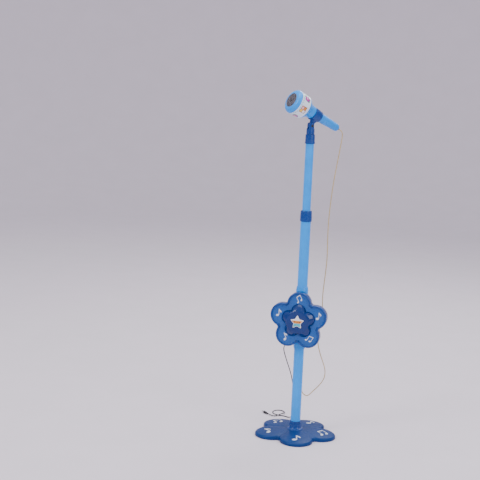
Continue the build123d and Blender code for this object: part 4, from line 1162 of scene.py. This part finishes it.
def player_cord():
    points = route_points("aux_route", AUX_CORD_ROUTE)
    part = cord_tube("aux_cord_line", line_frames(points), BLACK_CORD)
    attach(part, "stand")
    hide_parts("aux_cord")
    end = Vector(AUX_CORD_ROUTE[-1])
    along = (end - Vector(AUX_CORD_ROUTE[-2])).normalized()
    pieces = plug("aux_plug_speaker", plug_place("aux_plug_speaker_grip"))
    pieces += plug("aux_plug_player", axes(end + along * PLUG_GRIP, (0, 0, 1), along))


# ---- CAD nodes that stay, with their finishes ----
KEPT = ((SKY, "speaker_back_shell battery_door"), (NAVY, "base_bottom_plate lock_collet"),
    (PAPER, "driver_cone driver_dust_cap"),
    (STEEL,
    "base_screws speaker_housing_screws battery_door_screw mic_handle_screws driver_basket mic_capsule"),
    (MAGNET, "pivot_screw pivot_nut driver_magnet"), (NICKEL, "battery_contacts"), (CELL, "batteries"),
    (BLACK, "guide_bush board_parts aux_jack mic_jack volume_control volume_wheel mic_capsule_holder"),
    (BOARD, "circuit_board volume_board"), (WIRE, "inner_wires"), (FOAM, "mic_foam"),)


def finish_kept_nodes():
    for material, names in KEPT:
        for name in names.split():
            node = frame["nodes"][name]
            node.data.materials.clear()
            node.data.materials.append(material)


# ---- Studio ----
STUDIO_AIM = Vector((0, 0, 0.55))
LAMPS = (  # x, y, z, width, height, watts
    (-2.2, -2.6, 2.6, 1.2, 2.2, 62), (2.6, -1.8, 1.9, 1.0, 2.2, 40), (0.4, 2.4, 2.8, 2.0, 1.2, 45),
    (0.0, -0.4, 3.6, 2.4, 2.4, 60),
)


def studio():
    """Pale floor that curves up all round, and soft lights."""
    flat, rise, height = 5.2, 2.6, 4.0
    profile = [(flat * share, 0.0) for share in (0.0005, 0.1, 0.3, 0.6, 1.0)]
    for step in range(1, 13):
        angle = pi / 2 * step / 12
        profile.append((flat + rise * sin(angle), rise * (1 - cos(angle))))
    profile.append((flat + rise, height))
    builder = loft_mesh([[(x, y, z) for x, y in circle(radius, 96)] for radius, z in profile],
        close_ends=False)
    mesh = bpy.data.meshes.new("floor")
    builder.to_mesh(mesh)
    builder.free()
    smooth(mesh)
    mesh.materials.append(surface("floor_paper", (220, 210, 221), 0.75, shade=0.015, shade_scale=6.0,
        grain=0.0002))
    floor = add_object("floor", mesh)

    world = bpy.data.worlds.new("studio")
    bpy.context.scene.world = world
    world.use_nodes = True
    set_inputs(world.node_tree.nodes["Background"], {"Color": (0.93, 0.95, 1.0, 1), "Strength": 1.0})
    for number, (x, y, z, width, height, watts) in enumerate(LAMPS):
        data = bpy.data.lights.new(f"softbox_{number}", "AREA")
        data.shape = "RECTANGLE"
        data.size, data.size_y, data.energy = width, height, watts
        aim = (STUDIO_AIM - Vector((x, y, z))).to_track_quat("-Z", "Y").to_matrix().to_4x4()
        add_object(f"softbox_{number}", data).matrix_world = Matrix.Translation((x, y, z)) @ aim


camera()
microphone_cord()
player_cord()
base()
pole()
speaker_front()
speaker_dome()
star_badge()
speaker_notes()
speaker_back()
clip()
neck()
microphone_shell()
grille()
band_stickers()
finish_kept_nodes()
studio()
